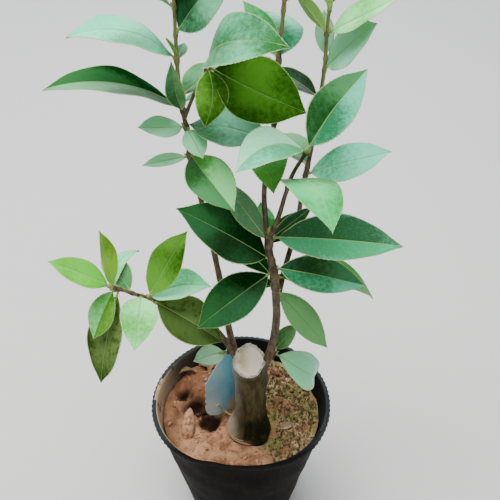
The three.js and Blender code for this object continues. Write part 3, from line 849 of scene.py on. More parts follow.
# %% The label
TAG = {"width": 34, "height": 76, "shoulder": 40, "neck": 5, "neck_offset": 6, "thick": 0.8, "sunk": 3}
TAG_CORNER = 10
TAG_HOLE = {"x": -6, "y": 13, "radius": 1.6}
TAG_FOOT = np.array([-16.0, 3.0, SOIL_LEVEL - TAG["sunk"]])
TAG_LEAN = 6
TAG_TILT = 3
TAG_TURN = 20


def turned(point, axis, angle):
    """A point turned by an angle in degrees about the x or z axis."""
    c, s = math.cos(math.radians(angle)), math.sin(math.radians(angle))
    x, y, z = point
    if axis == "x":
        return x, y * c - z * s, y * s + z * c
    return x * c - y * s, x * s + y * c, z


def planted(x, y, z):
    """Stands a point that is drawn flat upright in the soil."""
    point = turned((x, y, z), "z", -TAG_TILT)
    point = turned(point, "x", 90 - TAG_LEAN)
    return tuple(np.array(turned(point, "z", TAG_TURN)) + TAG_FOOT)


def modify(piece, kind, **settings):
    """Adds a modifier to the active piece and applies it at once."""
    modifier = piece.modifiers.new(kind.lower(), kind)
    for name, value in settings.items():
        setattr(modifier, name, value)
    bpy.ops.object.modifier_apply(modifier=modifier.name)


def tag_edges(y):
    """The left and right edge of the label at a height on it."""
    half = TAG["width"] / 2
    if y < TAG_CORNER:
        reach = half - TAG_CORNER + math.sqrt(TAG_CORNER**2 - (TAG_CORNER - y) ** 2)
        return -reach, reach
    narrow = max(0.0, (y - TAG["shoulder"]) / (TAG["height"] - TAG["shoulder"]))
    left, right = TAG["neck_offset"] - TAG["neck"] / 2, TAG["neck_offset"] + TAG["neck"] / 2
    scallop = 0.45 * math.sin(y * 0.9) * (1 - min(1.0, narrow * 3))
    return -half + (left + half) * narrow + scallop, half + (right - half) * narrow


deselect()
bpy.ops.mesh.primitive_grid_add(x_subdivisions=26, y_subdivisions=60, size=1)
tag = bpy.context.object
tag.name = "label_plate"
for vertex in tag.data.vertices:
    y = (vertex.co.y + 0.5) * TAG["height"]
    left, right = tag_edges(y)
    vertex.co = Vector((left + (vertex.co.x + 0.5) * (right - left), y, 0)) * MM
modify(tag, "SOLIDIFY", thickness=TAG["thick"] * MM, offset=1)
bpy.ops.mesh.primitive_cylinder_add(
    vertices=32,
    radius=TAG_HOLE["radius"] * MM,
    depth=5 * MM,
    location=(TAG_HOLE["x"] * MM, TAG_HOLE["y"] * MM, 0),
)
punch = bpy.context.object
bpy.context.view_layer.objects.active = tag
modify(tag, "BOOLEAN", object=punch)
bpy.data.objects.remove(punch)
modify(tag, "BEVEL", width=0.15 * MM, segments=2, angle_limit=math.radians(50))
move_points(tag, planted)
print("label points:", len(tag.data.vertices))

# %% The label's finish
blue = Finish("blue_plastic", Specular_IOR_Level=0.45)
cloud = blue.grain(70, 5, 0.6)
scratch = blue.grain(500, 3, 0.6)
low_right = (1 - blue.axis(2).ramp(0.128, 0.143)) * blue.axis(0).ramp(-0.022, -0.008)
far_left = 1 - blue.axis(0).ramp(-0.024, -0.010)
low_left = (1 - blue.axis(2).ramp(0.122, 0.15)) * (1 - blue.axis(0).ramp(-0.03, -0.012))
dust_spots = blue.grain(240, 4, 0.6).ramp(0.6, 0.72)
paint = blue.layered(
    blue.mix(cloud.ramp(0.3, 0.7), (0.20, 0.60, 1.0), (0.28, 0.80, 1.0)),
    (far_left * (0.2 + cloud * 0.7), (0.62, 0.72, 0.68)),
    (low_left * 0.75, (0.84, 0.92, 0.92)),
    ((low_right * (0.4 + cloud)).ramp(0.3, 0.9) * 0.9, (0.66, 0.5, 0.33)),
    (dust_spots * 0.35, (0.3, 0.27, 0.2)),
)
blue.feed("Base Color", paint)
blue.feed("Roughness", 0.38 + scratch * 0.25)
blue.bump(scratch, 0.0001, 0.5)
tag.data.materials.clear()
tag.data.materials.append(blue.material)
finish_off(tag, ["tag"], 40)

# %% [markdown]
# Shoots, buds, dry strands and the label's tie are all tubes along a smooth path. One helper walks the
# path, keeps a ring square to it without twisting, and closes both ends. The path runs through given points
# as a bent rod would, so the shoots bend where the solids of the frame bend.


# %% Paths and tubes
def unit(v):
    return v / np.linalg.norm(v)


def smooth_path(points, steps):
    """Samples a centripetal spline through the points, with its ends continued straight."""
    p = np.array(points, float)
    p = np.vstack([2 * p[0] - p[1], p, 2 * p[-1] - p[-2]])
    samples = []
    for k in range(len(p) - 3):
        p0, p1, p2, p3 = p[k : k + 4]
        d0, d1, d2 = (math.sqrt(np.linalg.norm(b - a)) for a, b in ((p0, p1), (p1, p2), (p2, p3)))
        m1 = ((p1 - p0) / d0 - (p2 - p0) / (d0 + d1) + (p2 - p1) / d1) * d1
        m2 = ((p2 - p1) / d1 - (p3 - p1) / (d1 + d2) + (p3 - p2) / d2) * d1
        for t in np.linspace(0, 1, steps, endpoint=False):
            c2 = 3 * (p2 - p1) - 2 * m1 - m2
            c3 = 2 * (p1 - p2) + m1 + m2
            samples.append(p1 + m1 * t + c2 * t * t + c3 * t**3)
    samples.append(p[-2])
    return np.array(samples)


class Limb:
    """A shoot's centre line. Places on it are shares of its length."""

    def __init__(self, points, leafy, radius, steps=50):
        self.line = smooth_path(points, steps)
        steps_long = np.linalg.norm(np.diff(self.line, axis=0), axis=1)
        self.reach = np.concatenate([[0], np.cumsum(steps_long)])
        self.length = self.reach[-1]
        self.split = self.reach[leafy * steps] / self.length
        self.radius = radius

    def at(self, share):
        return np.array([np.interp(share * self.length, self.reach, self.line[:, i]) for i in range(3)])

    def heading(self, share):
        return unit(self.at(min(1.0, share + 0.002)) - self.at(max(0.0, share - 0.002)))

    def thick(self, share):
        return self.radius[0] + (self.radius[1] - self.radius[0]) * share

    def leafy(self, at):
        return self.split + (1 - self.split) * at


def ring_quads(rings, sides):
    """The corners of each face between neighbouring rings."""
    for k in range(rings - 1):
        for i in range(sides):
            a, b = k * sides + i, k * sides + (i + 1) % sides
            yield a, b, b + sides, a + sides


def tube(limb, shares, radii, sides, relief=None):
    """Rings of points along a limb, closed at both ends. relief changes the radius point by point."""
    points = []
    across = np.array([1.0, 0, 0])
    for share, radius in zip(shares, radii):
        middle, forward = limb.at(share), limb.heading(share)
        across = unit(across - forward * (across @ forward))
        third = np.cross(forward, across)
        for i in range(sides):
            angle = math.tau * i / sides
            out = across * math.cos(angle) + third * math.sin(angle)
            r = radius + (relief(share, angle, middle + out * radius) if relief else 0)
            points.append(middle + out * r)
    last = (len(shares) - 1) * sides
    ends = [[*range(sides)][::-1], [last + i for i in range(sides)]]
    return np.array(points), [*ring_quads(len(shares), sides), *ends]


print("path helpers ready")

# %% [markdown]
# The shoots rise from just under the cut. Their points and thicknesses are those of the solids. Each has a
# bare part and a leafy part, and a leaf's place is a share of the leafy part, so the swollen nodes on the
# bark fall exactly where the leaves are set.

# %% The shoots and the leaves they carry
SHOOTS = {
    "left": Limb(
        [(-2, -10, 198), (-9, 0, 227), (-14, 8, 262), (-22, 16, 310), (-29, 22, 345), (-35, 27, 372)]
        + [(-36, 30, 390), (-39, 33, 412), (-41, 36, 440), (-41, 39, 466), (-41, 41, 488), (-40, 43, 506)],
        5,
        (3, 1),
    ),
    "low_left": Limb(
        [(-3, -10, 202), (-19, -8, 235), (-40, -11, 255), (-61, -15, 271)]
        + [(-70, -18, 279), (-80, -20, 286), (-94, -21, 293)],
        3,
        (2.6, 1.1),
    ),
    "heart": Limb(
        [(17, -16, 190), (26, -12, 222), (29, -8, 250), (28, -8, 270)]
        + [(27, -8, 286), (25, -8, 302), (22, -7, 318), (22, -6, 331)],
        3,
        (3.6, 2.6),
    ),
    "centre": Limb(
        [(20, -4.6, 332.2), (18, 0, 366), (22, 8, 396), (25, 11, 420)]
        + [(26, 14, 450), (28, 15, 480), (30, 17, 512)],
        2,
        (2, 1.1),
    ),
    "middle": Limb(
        [(23.2, -7.6, 331.9), (28, -11, 350), (32, -15, 372), (36, -18, 390), (44, -22, 410)],
        2,
        (1.9, 1.2),
    ),
    "right": Limb(
        [(29, -6, 262), (34, 8, 280), (44, 24, 318), (48, 34, 346)]
        + [(52, 37, 370), (56, 42, 405), (59, 42, 438), (59, 43, 464), (60, 45, 478)],
        3,
        (2.3, 1.1),
    ),
    "side": Limb(
        [(-38, 31.5, 404), (-32, 26, 421), (-26, 19, 436), (-21, 15, 446), (-19, 12, 453)],
        3,
        (1.4, 1.1),
    ),
    "foot_right": Limb([(26, -12, 205), (28, -9, 209), (28, -9.5, 213)], 0, (1.5, 1.2)),
    "foot_left": Limb([(-6, -9, 209), (-10, -11, 212), (-12, -12, 213)], 0, (1.4, 1.2)),
}


class Leaf(NamedTuple):
    """One leaf. Angles are in degrees, long and wide in millimetres, sway is a share of the length."""

    at: float  # its place on the leafy part, from 0 to 1
    toward: float  # the bearing of its tip
    rise: float
    long: float
    wide: float
    look: str
    roll: float = 0
    arch: float = 15  # how far it curls down along its length
    keel: float = 10  # how far its halves are folded up
    sway: float = 0  # how far its midrib bows to one side


LEAVES = {
    "left": [
        Leaf(0.55, 198, 20, 80, 38, "cool", roll=-8, arch=78, keel=2),
        Leaf(0.29, 198, 18, 100, 42, "half_shaded", arch=58, keel=4),
        Leaf(0.285, 258, 68, 50, 13, "folded", roll=-167, arch=40, keel=30, sway=-0.02),
        Leaf(0.33, 8, 22, 26, 12, "mint", roll=-10, arch=20),
        Leaf(0.2, 213, 16, 38, 18, "whitish_sheen", roll=-30, arch=-16, keel=8),
        Leaf(0.19, 301, -28, 27, 17, "whitish_sheen", roll=10, arch=20),
        Leaf(0.03, 189, -7, 35, 10, "whitish_sheen", roll=-35, arch=8, keel=18),
        Leaf(0.05, 307, -21, 59, 33, "half_olive", roll=12, arch=30, keel=14, sway=0.03),
        Leaf(0.68, 340, 52, 68, 38, "half_varied", roll=60, arch=18, keel=8),
        Leaf(0.81, 219, 31, 42, 19, "mid", roll=-20, arch=30),
        Leaf(0.55, 73, 20, 17, 9, "bluish", arch=20),
        Leaf(0.57, 212, 66, 16, 8, "mint", arch=20),
        Leaf(0.93, 100, 35, 54, 25, "mid", arch=30),
        Leaf(1, 20, 55, 40, 17, "young"),
        Leaf(1, 200, 68, 34, 13, "young"),
        Leaf(0.36, 55, 4, 55, 27, "mid", arch=25),
    ],
    "side": [
        Leaf(0.95, 266, -51, 41, 22, "lime", roll=7, arch=60, keel=6, sway=-0.13),
        Leaf(0.99, 320, 26, 80, 38, "sheeny", roll=38, arch=95, keel=8),
        Leaf(1, 341, -18, 70, 45, "backlit", roll=37, arch=12, keel=8, sway=0.03),
        Leaf(0.54, 352, -20, 40, 13, "fresh", roll=27, arch=8, keel=4, sway=0.07),
    ],
    "low_left": [
        Leaf(1, 185, 34, 51, 21, "spring", roll=-25),
        Leaf(0.97, 135, 82, 50, 20, "bright", roll=25, arch=10, keel=16, sway=-0.05),
        Leaf(0.94, 73, 2, 46, 11, "light", roll=5, arch=60, keel=9, sway=-0.14),
        Leaf(0.96, 225, -56, 44, 22, "half_spring", roll=-15, arch=22),
        Leaf(0.88, 232, -68, 83, 34, "blotchy"),
        Leaf(0.29, 23, 57, 64, 28, "lime", roll=28, arch=10, keel=14),
        Leaf(0.43, 271, -5, 54, 27, "young", roll=-7, arch=60, keel=12, sway=-0.01),
        Leaf(0.31, 1, 13, 50, 32, "light", roll=4, arch=9, keel=9, sway=-0.12),
        Leaf(0.2, 346, -30, 64, 38, "half_dusky", roll=18, arch=20, keel=8),
        Leaf(0.62, 130, 20, 42, 20, "mid", arch=20),
        Leaf(0.1, 85, 8, 48, 22, "dark", arch=20),
    ],
    "heart": [
        Leaf(0.62, 191, 40, 88, 40, "dimmed", roll=-34),
        Leaf(0.45, 205, -28, 72, 35, "dimmed", roll=-22),
        Leaf(0.51, 343, 0, 70, 29, "half_deep", roll=27),
        Leaf(0.96, 346, 6, 96, 37, "half_bright", roll=25, keel=12),
        Leaf(0.46, 10, -27, 98, 26, "fresh", roll=16, arch=70, keel=4, sway=-0.06),
        Leaf(0.17, 331, -42, 63, 23, "olive", roll=22, arch=12, keel=8),
        Leaf(0.88, 152, 46, 60, 19, "grey", roll=-28),
        Leaf(0.9, 103, 30, 32, 15, "light", arch=20),
        Leaf(0.92, 20, 33, 40, 11, "deep", roll=50, arch=20, keel=20),
        Leaf(0.84, 43, 16, 42, 17, "dark", roll=10),
        Leaf(0.33, 122, -5, 60, 26, "dark", arch=20),
        Leaf(0.2, 145, -30, 42, 21, "dark", arch=20),
        Leaf(0.36, 15, -25, 56, 24, "dark", arch=20),
    ],
    "centre": [
        Leaf(0.03, 160, 2, 61, 37, "bluish", roll=-15, arch=20, keel=3, sway=0.03),
        Leaf(0.03, 271, -14, 54, 26, "fresh", roll=8, arch=103, keel=2, sway=0.03),
        Leaf(0.51, 98, 14, 55, 42, "pale_sheen", roll=8, arch=55, keel=3, sway=-0.03),
        Leaf(0.52, 145, 50, 43, 18, "light", roll=-15, arch=25, keel=8),
        Leaf(0.86, 330, 45, 58, 27, "mid", roll=20, arch=25),
        Leaf(0.92, 200, 42, 60, 28, "mid", roll=-15, arch=25),
        Leaf(0.8, 78, 25, 62, 30, "mid", arch=30),
        Leaf(1, 140, 62, 40, 16, "young"),
        Leaf(1, 290, 64, 36, 15, "young"),
        Leaf(0.15, 92, 5, 60, 28, "mid", arch=20),
        Leaf(0.34, 120, 0, 55, 27, "dark", arch=20),
    ],
    "middle": [
        Leaf(1, 16, 55, 64, 30, "half_fresh", roll=38, arch=10, keel=8, sway=-0.03),
        Leaf(0.2, 291, 7, 78, 36, "clear", roll=-10, arch=106, keel=2, sway=0.01),
        Leaf(1, 213, 4, 58, 31, "half_dew", roll=-12, arch=80, keel=8, sway=0.08),
    ],
    "right": [
        Leaf(0.88, 333, 35, 56, 24, "young", roll=30, keel=12, sway=0.05),
        Leaf(0.88, 192, 52, 37, 10, "bright", roll=60, arch=10, keel=25),
        Leaf(0.69, 322, 49, 55, 31, "whitish_sheen", roll=48, arch=12, keel=8),
        Leaf(0.75, 94, 56, 32, 13, "whitish_sheen", roll=-10, arch=10),
        Leaf(0.07, 343, 27, 68, 29, "mint", roll=35, arch=16, keel=4),
        Leaf(0.3, 60, 10, 58, 27, "mid", arch=25),
        Leaf(0.12, 112, 0, 55, 26, "mid", arch=25),
        Leaf(0.52, 150, 20, 42, 21, "dim", arch=25),
        Leaf(1, 60, 40, 50, 22, "mid", arch=20),
        Leaf(1, 150, 58, 38, 15, "young"),
    ],
    "foot_right": [
        Leaf(0.95, 24, 48, 30, 15, "olive", roll=20, arch=10),
        Leaf(0.6, 10, -46, 61, 30, "whitish_sheen", roll=38, arch=120, keel=16, sway=0.09),
    ],
    "foot_left": [
        Leaf(0.9, 208, 9, 30, 19, "grey", roll=-15, arch=30),
    ],
}
print("leaves:", sum(map(len, LEAVES.values())), "on", len(SHOOTS), "shoots")

# %% [markdown]
# All shoots are one joined mesh: tubes of sixteen sides with rings less than a millimetre apart, so that
# the bark's ridges can be real. Noise gives long ridges, and a swelling with a scar marks each leaf's
# place. A bump map alone would leave the outline too smooth where the shoots stand against the sky.

# %% Shoots with nodes and ridges
SHOOT_SIDES = 16
SHOOT_STEP = 0.75


def shoot_relief(limb, name):
    nodes = [limb.leafy(row.at) * limb.length for row in LEAVES[name]]
    seed = Vector((len(name) * 3.7, 1.3, 0))

    def relief(share, angle, place):
        here = share * limb.length
        swell = sum(0.45 * bell(here - node, 2.6) + 0.2 * bell(here - node + 1.2, 0.8) for node in nodes)
        ridges = noise.noise(Vector((math.cos(angle) * 1.6, math.sin(angle) * 1.6, here / 9)) + seed)
        knots = noise.noise(Vector(place) / 3.4)
        return min(swell, 0.8) + (0.16 * ridges + 0.12 * knots) * limb.thick(share) / 2

    return relief


shoot_heap = Heap()
for name, limb in SHOOTS.items():
    rings = math.ceil(limb.length / SHOOT_STEP)
    shares = np.linspace(0, 1, rings)
    ends = [min(1.0, 0.35 + (1 - s) * limb.length * 0.5) for s in shares]
    radii = [limb.thick(s) * e for s, e in zip(shares, ends)]
    points, faces = tube(limb, shares, radii, SHOOT_SIDES, shoot_relief(limb, name))
    green_part = 0.75 if limb.length > 150 else 2.0
    slots = [1 if f // SHOOT_SIDES / rings > green_part else 0 for f in range(len(faces))]
    shoot_heap.add(points, faces, slots)

wood = Finish("shoot_bark", Specular_IOR_Level=0.35)
wood_grain = wood.grain(330, 5, 0.6, (1, 1, 0.35))
wood_specks = wood.grain(1100, 3, 0.6)
wood_color = wood.mix(wood_grain.ramp(0.35, 0.65), (0.05, 0.03, 0.014), (0.18, 0.125, 0.07))
wood_color = wood.mix(wood_specks.ramp(0.58, 0.7) * 0.6, wood_color, (0.4, 0.33, 0.24))
wood.feed("Base Color", wood_color)
wood.feed("Roughness", 0.5 + wood_grain * 0.25)
wood.bump(wood_grain * 0.6 + wood_specks * 0.4, 0.0004, 0.8)
tender = grained(
    "young_bark",
    (300, 4, 0.6, (1, 1, 0.35)),
    (0.15, 0.12, 0.05),
    (0.3, 0.27, 0.11),
    bump=(0.0003, 0.7),
    ramp=(0.35, 0.65),
    Specular_IOR_Level=0.4,
    Roughness=0.45,
)
shoots = shoot_heap.piece("shoots", [wood, tender])
BOUGHS = ("left", "low_left", "right", "centre", "middle", "back", "side")
finish_off(shoots, ["bough_" + name for name in BOUGHS])

# %% [markdown]
# A camellia leaf is thick, glossy and finely toothed. Eight pairs of side veins leave the midrib, lean
# forward and end before the edge. The rows of its grid follow those veins, so a vein is a narrow row of
# faces with its own paler finish, and the blade swells a little between two of them. An image of a leaf
# would be quicker, but it blurs close up, and this leaf keeps a true edge from every side.

# %% A leaf's grid
VEINS = 8
BLADE_START = 0.07
VEIN_PLACES = [0.09 + 0.103 * k for k in range(VEINS)]
THICKNESS = 0.5
RIB_RISE = 0.55
BLADE_STEPS = (0.2, 0.4, 0.6, 0.8)  # rows from one vein to the next
TIP_STEPS = (0.35, 0.7, 1)  # rows from the last vein to where the tip begins
TIP_START = 0.93


def outline(t):
    """Half of a blade's width along it, as a share of the greatest."""
    t = np.clip(t, 0, 1)
    tip = np.clip((t - 0.8) / 0.2, 0, 1)
    return np.sin(np.pi * t**0.9) ** 0.85 * (1 - 0.3 * tip * tip * (3 - 2 * tip))


def leaf_axes(row):
    toward, up, roll = map(math.radians, (row.toward, row.rise, row.roll))
    along = np.array([math.cos(toward) * math.cos(up), math.sin(toward) * math.cos(up), math.sin(up)])
    level = np.array([-math.cos(toward) * math.sin(up), -math.sin(toward) * math.sin(up), math.cos(up)])
    face = level * math.cos(roll) + np.cross(along, level) * math.sin(roll)
    return along, face, np.cross(along, face)


def on_leaf(row, root, share, sideways, raised):
    """Places points on a leaf that curls down evenly along its length."""
    along, face, across = leaf_axes(row)
    bend = math.radians(row.arch)
    bow = row.long / bend
    angle = bend * (share - 0.5)
    forward = bow * (np.sin(angle) + math.sin(bend / 2))
    up = bow * (np.cos(angle) - math.cos(bend / 2)) + raised
    out = row.long * row.sway * np.sin(np.pi * share) + sideways
    return root + forward[..., None] * along + up[..., None] * face + out[..., None] * across


def leaf_rows(long):
    """Shares of the midrib for each row, and which strips between two rows are veins."""
    half = 0.13 / long
    rows, vein_strips = [0.0, 0.03], []
    for k, place in enumerate(VEIN_PLACES):
        rows += [place - half, place + half]
        vein_strips.append(len(rows) - 2)
        upto, steps = (VEIN_PLACES[k + 1], BLADE_STEPS) if k + 1 < VEINS else (TIP_START, TIP_STEPS)
        rows += [place + (upto - place) * s for s in steps]
    return np.array(rows + [0.965, 1.0]), vein_strips


def leaf_surface(row, rng):
    """Shares, sideways places and heights of the top, and the strips that are veins."""
    long, half_wide = row.long * (1 - BLADE_START), row.wide / 2
    t, vein_strips = leaf_rows(long)
    t = t[:, None]
    spine = np.maximum(outline(t) * half_wide, 0.4)
    rib = np.clip((0.38 - 0.24 * t) / spine, 0.008, 0.35)
    margin = np.clip(1 - 0.5 / spine, 0.8, 0.985)
    inner = [rib + (margin - rib) * s for s in (0.1, 0.26, 0.44, 0.64, 0.84)]
    side = np.hstack([np.zeros_like(t), rib, *inner, margin, np.ones_like(t)])
    v = np.hstack([-side[:, :0:-1], side])
    reach = np.abs(v)
    blade_t = t + 0.6 * t * (1 - t) * reach**1.3
    width = np.maximum(outline(blade_t) * half_wide, 0.25)
    teeth = np.where(np.arange(len(t)) % 2 == 0, 0.3, -0.2)[:, None] * (reach > 0.999)
    calm = np.clip(width / 4, 0, 1)
    sideways = v * (width + teeth * calm)
    keel = math.radians(row.keel)
    share = BLADE_START + (1 - BLADE_START) * blade_t
    raised = width * math.sin(keel) * reach**1.25
    phase = np.interp(t, VEIN_PLACES, range(VEINS))
    quilt = np.sin(np.pi * (phase % 1)) ** 2 * np.sin(np.pi * np.clip(reach, 0, 1)) ** 0.7
    raised = raised + quilt * 0.0035 * row.wide * calm
    waves = [rng.uniform(0, math.tau) for _ in range(3)]
    lift = np.where(v < 0, np.sin(blade_t * 15 + waves[0]), np.sin(blade_t * 14 + waves[1]))
    raised = raised + lift * reach**2.5 * 0.03 * width + 0.012 * long * np.sin(blade_t * 5 + waves[2]) * reach
    raised = raised - 0.3 * np.clip(spine / 4, 0, 1) * (reach < 1e-6)
    return share, sideways, raised, vein_strips


print("rows in a leaf:", len(leaf_rows(60)[0]))

# %% [markdown]
# The grid is then closed: a coarser copy half a millimetre lower is the underside, a strip round the margin
# joins the two, and a short tube is the stalk. Each strip gets its finish by what it is: blade, vein,
# midrib, margin or underside. All leaves of a spray are joined in one mesh.


# %% Building one leaf
STALK_SIDES = 8
COLUMNS = 17
MIDDLE = COLUMNS // 2
UNDER_COLUMNS = [0, 3, 5, MIDDLE - 1, MIDDLE, MIDDLE + 1, 11, 13, COLUMNS - 1]  # the underside is coarser
NEAR_BLADE, FAR_BLADE, NEAR_VEIN, FAR_VEIN, RIB, MARGIN, UNDER, STALK = range(8)


def add_leaf(heap, row, root, slots, rng):
    """slots gives the material number of each part of the leaf."""
    share, sideways, raised, vein_strips = leaf_surface(row, rng)
    top = on_leaf(row, root, share, sideways, raised)
    bulge = np.zeros(COLUMNS)
    bulge[MIDDLE - 1 : MIDDLE + 2] = (0.25, RIB_RISE, 0.25)
    edge_thin = np.where(np.arange(COLUMNS) % (COLUMNS - 1) == 0, 0.3, THICKNESS)
    low = on_leaf(row, root, share, sideways, raised - edge_thin - bulge)
    low_side_near = leaf_axes(row)[2][1] > 0
    count = share.shape[0]
    points = np.concatenate([top.reshape(-1, 3), low[:, UNDER_COLUMNS].reshape(-1, 3)])
    faces, kinds = [], []
    for i in range(count - 1):
        for j in range(COLUMNS - 1):
            a = i * COLUMNS + j
            faces.append([a, a + 1, a + COLUMNS + 1, a + COLUMNS])
            from_rib = min(abs(j - MIDDLE), abs(j + 1 - MIDDLE))
            near_half = (j < MIDDLE) == low_side_near
            if from_rib == 0:
                kinds.append(RIB)
            elif j in (0, COLUMNS - 2):
                kinds.append(MARGIN)
            elif i in vein_strips and from_rib < 6:
                kinds.append(NEAR_VEIN if near_half else FAR_VEIN)
            else:
                kinds.append(NEAR_BLADE if near_half else FAR_BLADE)
    start, wide = count * COLUMNS, len(UNDER_COLUMNS)
    for i in range(count - 1):
        for j in range(wide - 1):
            a = start + i * wide + j
            faces.append([a + wide, a + wide + 1, a + 1, a])
            kinds.append(RIB if j in (3, 4) else UNDER)
        left, left_low = i * COLUMNS, start + i * wide
        faces.append([left, left + COLUMNS, left_low + wide, left_low])
        right, right_low = left + COLUMNS - 1, left_low + wide - 1
        faces.append([right_low, right_low + wide, right + COLUMNS, right])
        kinds += [MARGIN, MARGIN]
    for i, flip in ((0, False), (count - 1, True)):
        loop = [i * COLUMNS + j for j in range(COLUMNS)] + [start + i * wide + j for j in range(wide)][::-1]
        faces.append(loop[::-1] if flip else loop)
        kinds.append(RIB)
    heap.add(points, [face[::-1] for face in faces], [slots[kind] for kind in kinds])
    add_stalk(heap, row, root, slots[STALK])


def add_stalk(heap, row, root, slot):
    shares = np.array([0.0, 0.015, 0.03, 0.05, 0.07, 0.095, 0.12, 0.15])
    thick = np.array([1.3, 1.25, 1.05, 0.95, 0.9, 0.8, 0.6, 0.3])
    angles = np.linspace(0, math.tau, STALK_SIDES, endpoint=False)
    share = np.repeat(shares[:, None], STALK_SIDES, axis=1)
    sideways = thick[:, None] * np.cos(angles)[None, :]
    raised = thick[:, None] * np.sin(angles)[None, :] - 0.45
    points = on_leaf(row, root, share, sideways, raised).reshape(-1, 3)
    faces = [[a, d, c, b] for a, b, c, d in ring_quads(len(shares), STALK_SIDES)]
    last = (len(shares) - 1) * STALK_SIDES
    faces += [[*range(STALK_SIDES)], [last + i for i in range(STALK_SIDES)][::-1]]
    heap.add(points, faces, slot)


print("columns in a leaf:", COLUMNS)

# %% [markdown]
# The leaves differ in age and in how they face the sky: dark old ones in the middle, whose dark is partly
# painted shade, mint ones with a painted sky sheen, clear yellow-green young ones. Each leaf is given one of
# these looks, a pair of colours from a painted shade to a painted sheen. The colour drifts slowly between
# the two over the blade, with a fine leathery grain. A folded leaf often catches the sky on one half only,
# so some leaves have two looks, one for the half in front and one for the half behind, and each half has
# its own painted sheen or shade.

# %% Leaf finishes
# Each look is a pair of colours, a painted shade and a painted sheen. The palest looks are mostly painted sky
# sheen, and one dull, dark olive look paints light shining through a leaf from behind.
LOOKS = {
    "dark": ((0.003, 0.030, 0.003), (0.025, 0.13, 0.035)),
    "dim": ((0.003, 0.032, 0.003), (0.022, 0.13, 0.04)),
    "deep": ((0.006, 0.06, 0.010), (0.06, 0.25, 0.12)),
    "varied": ((0.006, 0.06, 0.006), (0.15, 0.52, 0.27)),
    "mid": ((0.010, 0.085, 0.010), (0.09, 0.34, 0.12)),
    "bluish": ((0.018, 0.11, 0.035), (0.14, 0.50, 0.30)),
    "fresh": ((0.06, 0.30, 0.03), (0.16, 0.56, 0.16)),
    "light": ((0.035, 0.33, 0.05), (0.17, 0.92, 0.42)),
    "clear": ((0.013, 0.24, 0.02), (0.07, 0.67, 0.20)),
    "mint": ((0.035, 0.38, 0.14), (0.20, 0.90, 0.60)),
    "pale_sheen": ((0.025, 0.24, 0.09), (0.17, 0.82, 0.52)),
    "cool": ((0.03, 0.30, 0.11), (0.12, 0.78, 0.44)),
    "sheeny": ((0.018, 0.14, 0.02), (0.14, 0.62, 0.32)),
    "whitish_sheen": ((0.28, 0.88, 0.44), (0.44, 1.0, 0.72)),
    "spring": ((0.05, 0.33, 0.006), (0.15, 0.68, 0.05)),
    "lime": ((0.022, 0.10, 0.003), (0.14, 0.38, 0.04)),
    "backlit": ((0.010, 0.06, 0.001), (0.08, 0.26, 0.02)),
    "bright": ((0.10, 0.32, 0.004), (0.36, 0.72, 0.04)),
    "olive": ((0.05, 0.16, 0.03), (0.17, 0.45, 0.15)),
    "blotchy": ((0.03, 0.07, 0.007), (0.14, 0.24, 0.06)),
    "dusky": ((0.012, 0.035, 0.002), (0.07, 0.13, 0.03)),
    "grey": ((0.11, 0.30, 0.13), (0.38, 0.76, 0.48)),
    "young": ((0.08, 0.42, 0.04), (0.30, 0.95, 0.32)),
    "dry": ((0.18, 0.11, 0.055), (0.32, 0.21, 0.12)),
}
# looks for the half in front and the half behind, which paint a different sheen or shade on each half
TWO_TONE = {
    "dimmed": ("dim", "dark"),
    "half_shaded": ("mid", "dark"),
    "half_bright": ("mint", "bluish"),
    "half_fresh": ("pale_sheen", "mid"),
    "half_deep": ("pale_sheen", "deep"),
    "half_olive": ("mid", "young"),
    "half_dusky": ("dusky", "blotchy"),
    "half_dew": ("mint", "whitish_sheen"),
    "half_spring": ("lime", "young"),
    "half_varied": ("varied", "dim"),
    "folded": ("mid", "olive"),
}
PALE_LOOKS = ("light", "clear", "mint", "pale_sheen", "cool", "sheeny", "whitish_sheen", "spring", "bright", "grey", "young")
DULL_LOOKS = ("dark", "lime", "backlit", "blotchy", "dusky")


def blade_color(finish, look, leathery):
    shade, sheen = LOOKS[look]
    # painted shade and sheen: a slow drift over the blade mixes the two colours
    sheen_drift = finish.grain(22, 1, 0.4)
    return finish.mix((sheen_drift + leathery * 0.25 - 0.12).ramp(0.37, 0.63), shade, sheen)


def leaf_finish(look):
    coat, specular = (0.0, 0.0) if look in DULL_LOOKS else (0.12, 0.3)
    finish = Finish("leaf_" + look, Coat_Roughness=0.2, Coat_Weight=coat, Specular_IOR_Level=specular)
    leathery = finish.grain(330, 3, 0.6)
    grain = finish.grain(900, 3, 0.55)
    surface = blade_color(finish, look, leathery)
    # fine flecks of painted highlight, a brighter copy of the sheen colour
    surface = finish.mix(grain.ramp(0.5, 0.75) * 0.2, surface, tint(LOOKS[look][1], 1.3))
    if look == "blotchy":
        blots = finish.grain(170, 4, 0.65)
        surface = finish.mix(blots.ramp(0.5, 0.6) * 0.6, surface, (0.035, 0.04, 0.008))
    finish.feed("Base Color", surface)
    finish.feed("Roughness", 0.3 + grain * 0.12)
    finish.bump(leathery * 0.7 + grain * 0.3, 0.0007, 0.6)
    return finish


def vein_finish(look):
    dull = look in DULL_LOOKS
    finish = Finish("vein_" + look, Specular_IOR_Level=0.0 if dull else 0.4)
    blade = blade_color(finish, look, finish.grain(330, 3, 0.6))
    share = 0.1 if look in PALE_LOOKS else 0.04
    finish.feed("Base Color", finish.mix(share, blade, (0.5, 0.8, 0.3)))
    finish.feed("Roughness", 0.42)
    return finish


def plain_leaf_part(name, color, rough):
    ends = (tint(color, 0.82), tint(color, 1.18))
    return grained(name, (500, 3, 0.5), *ends, bump=(0.0002, 0.4), Coat_Weight=0.15, Roughness=rough)


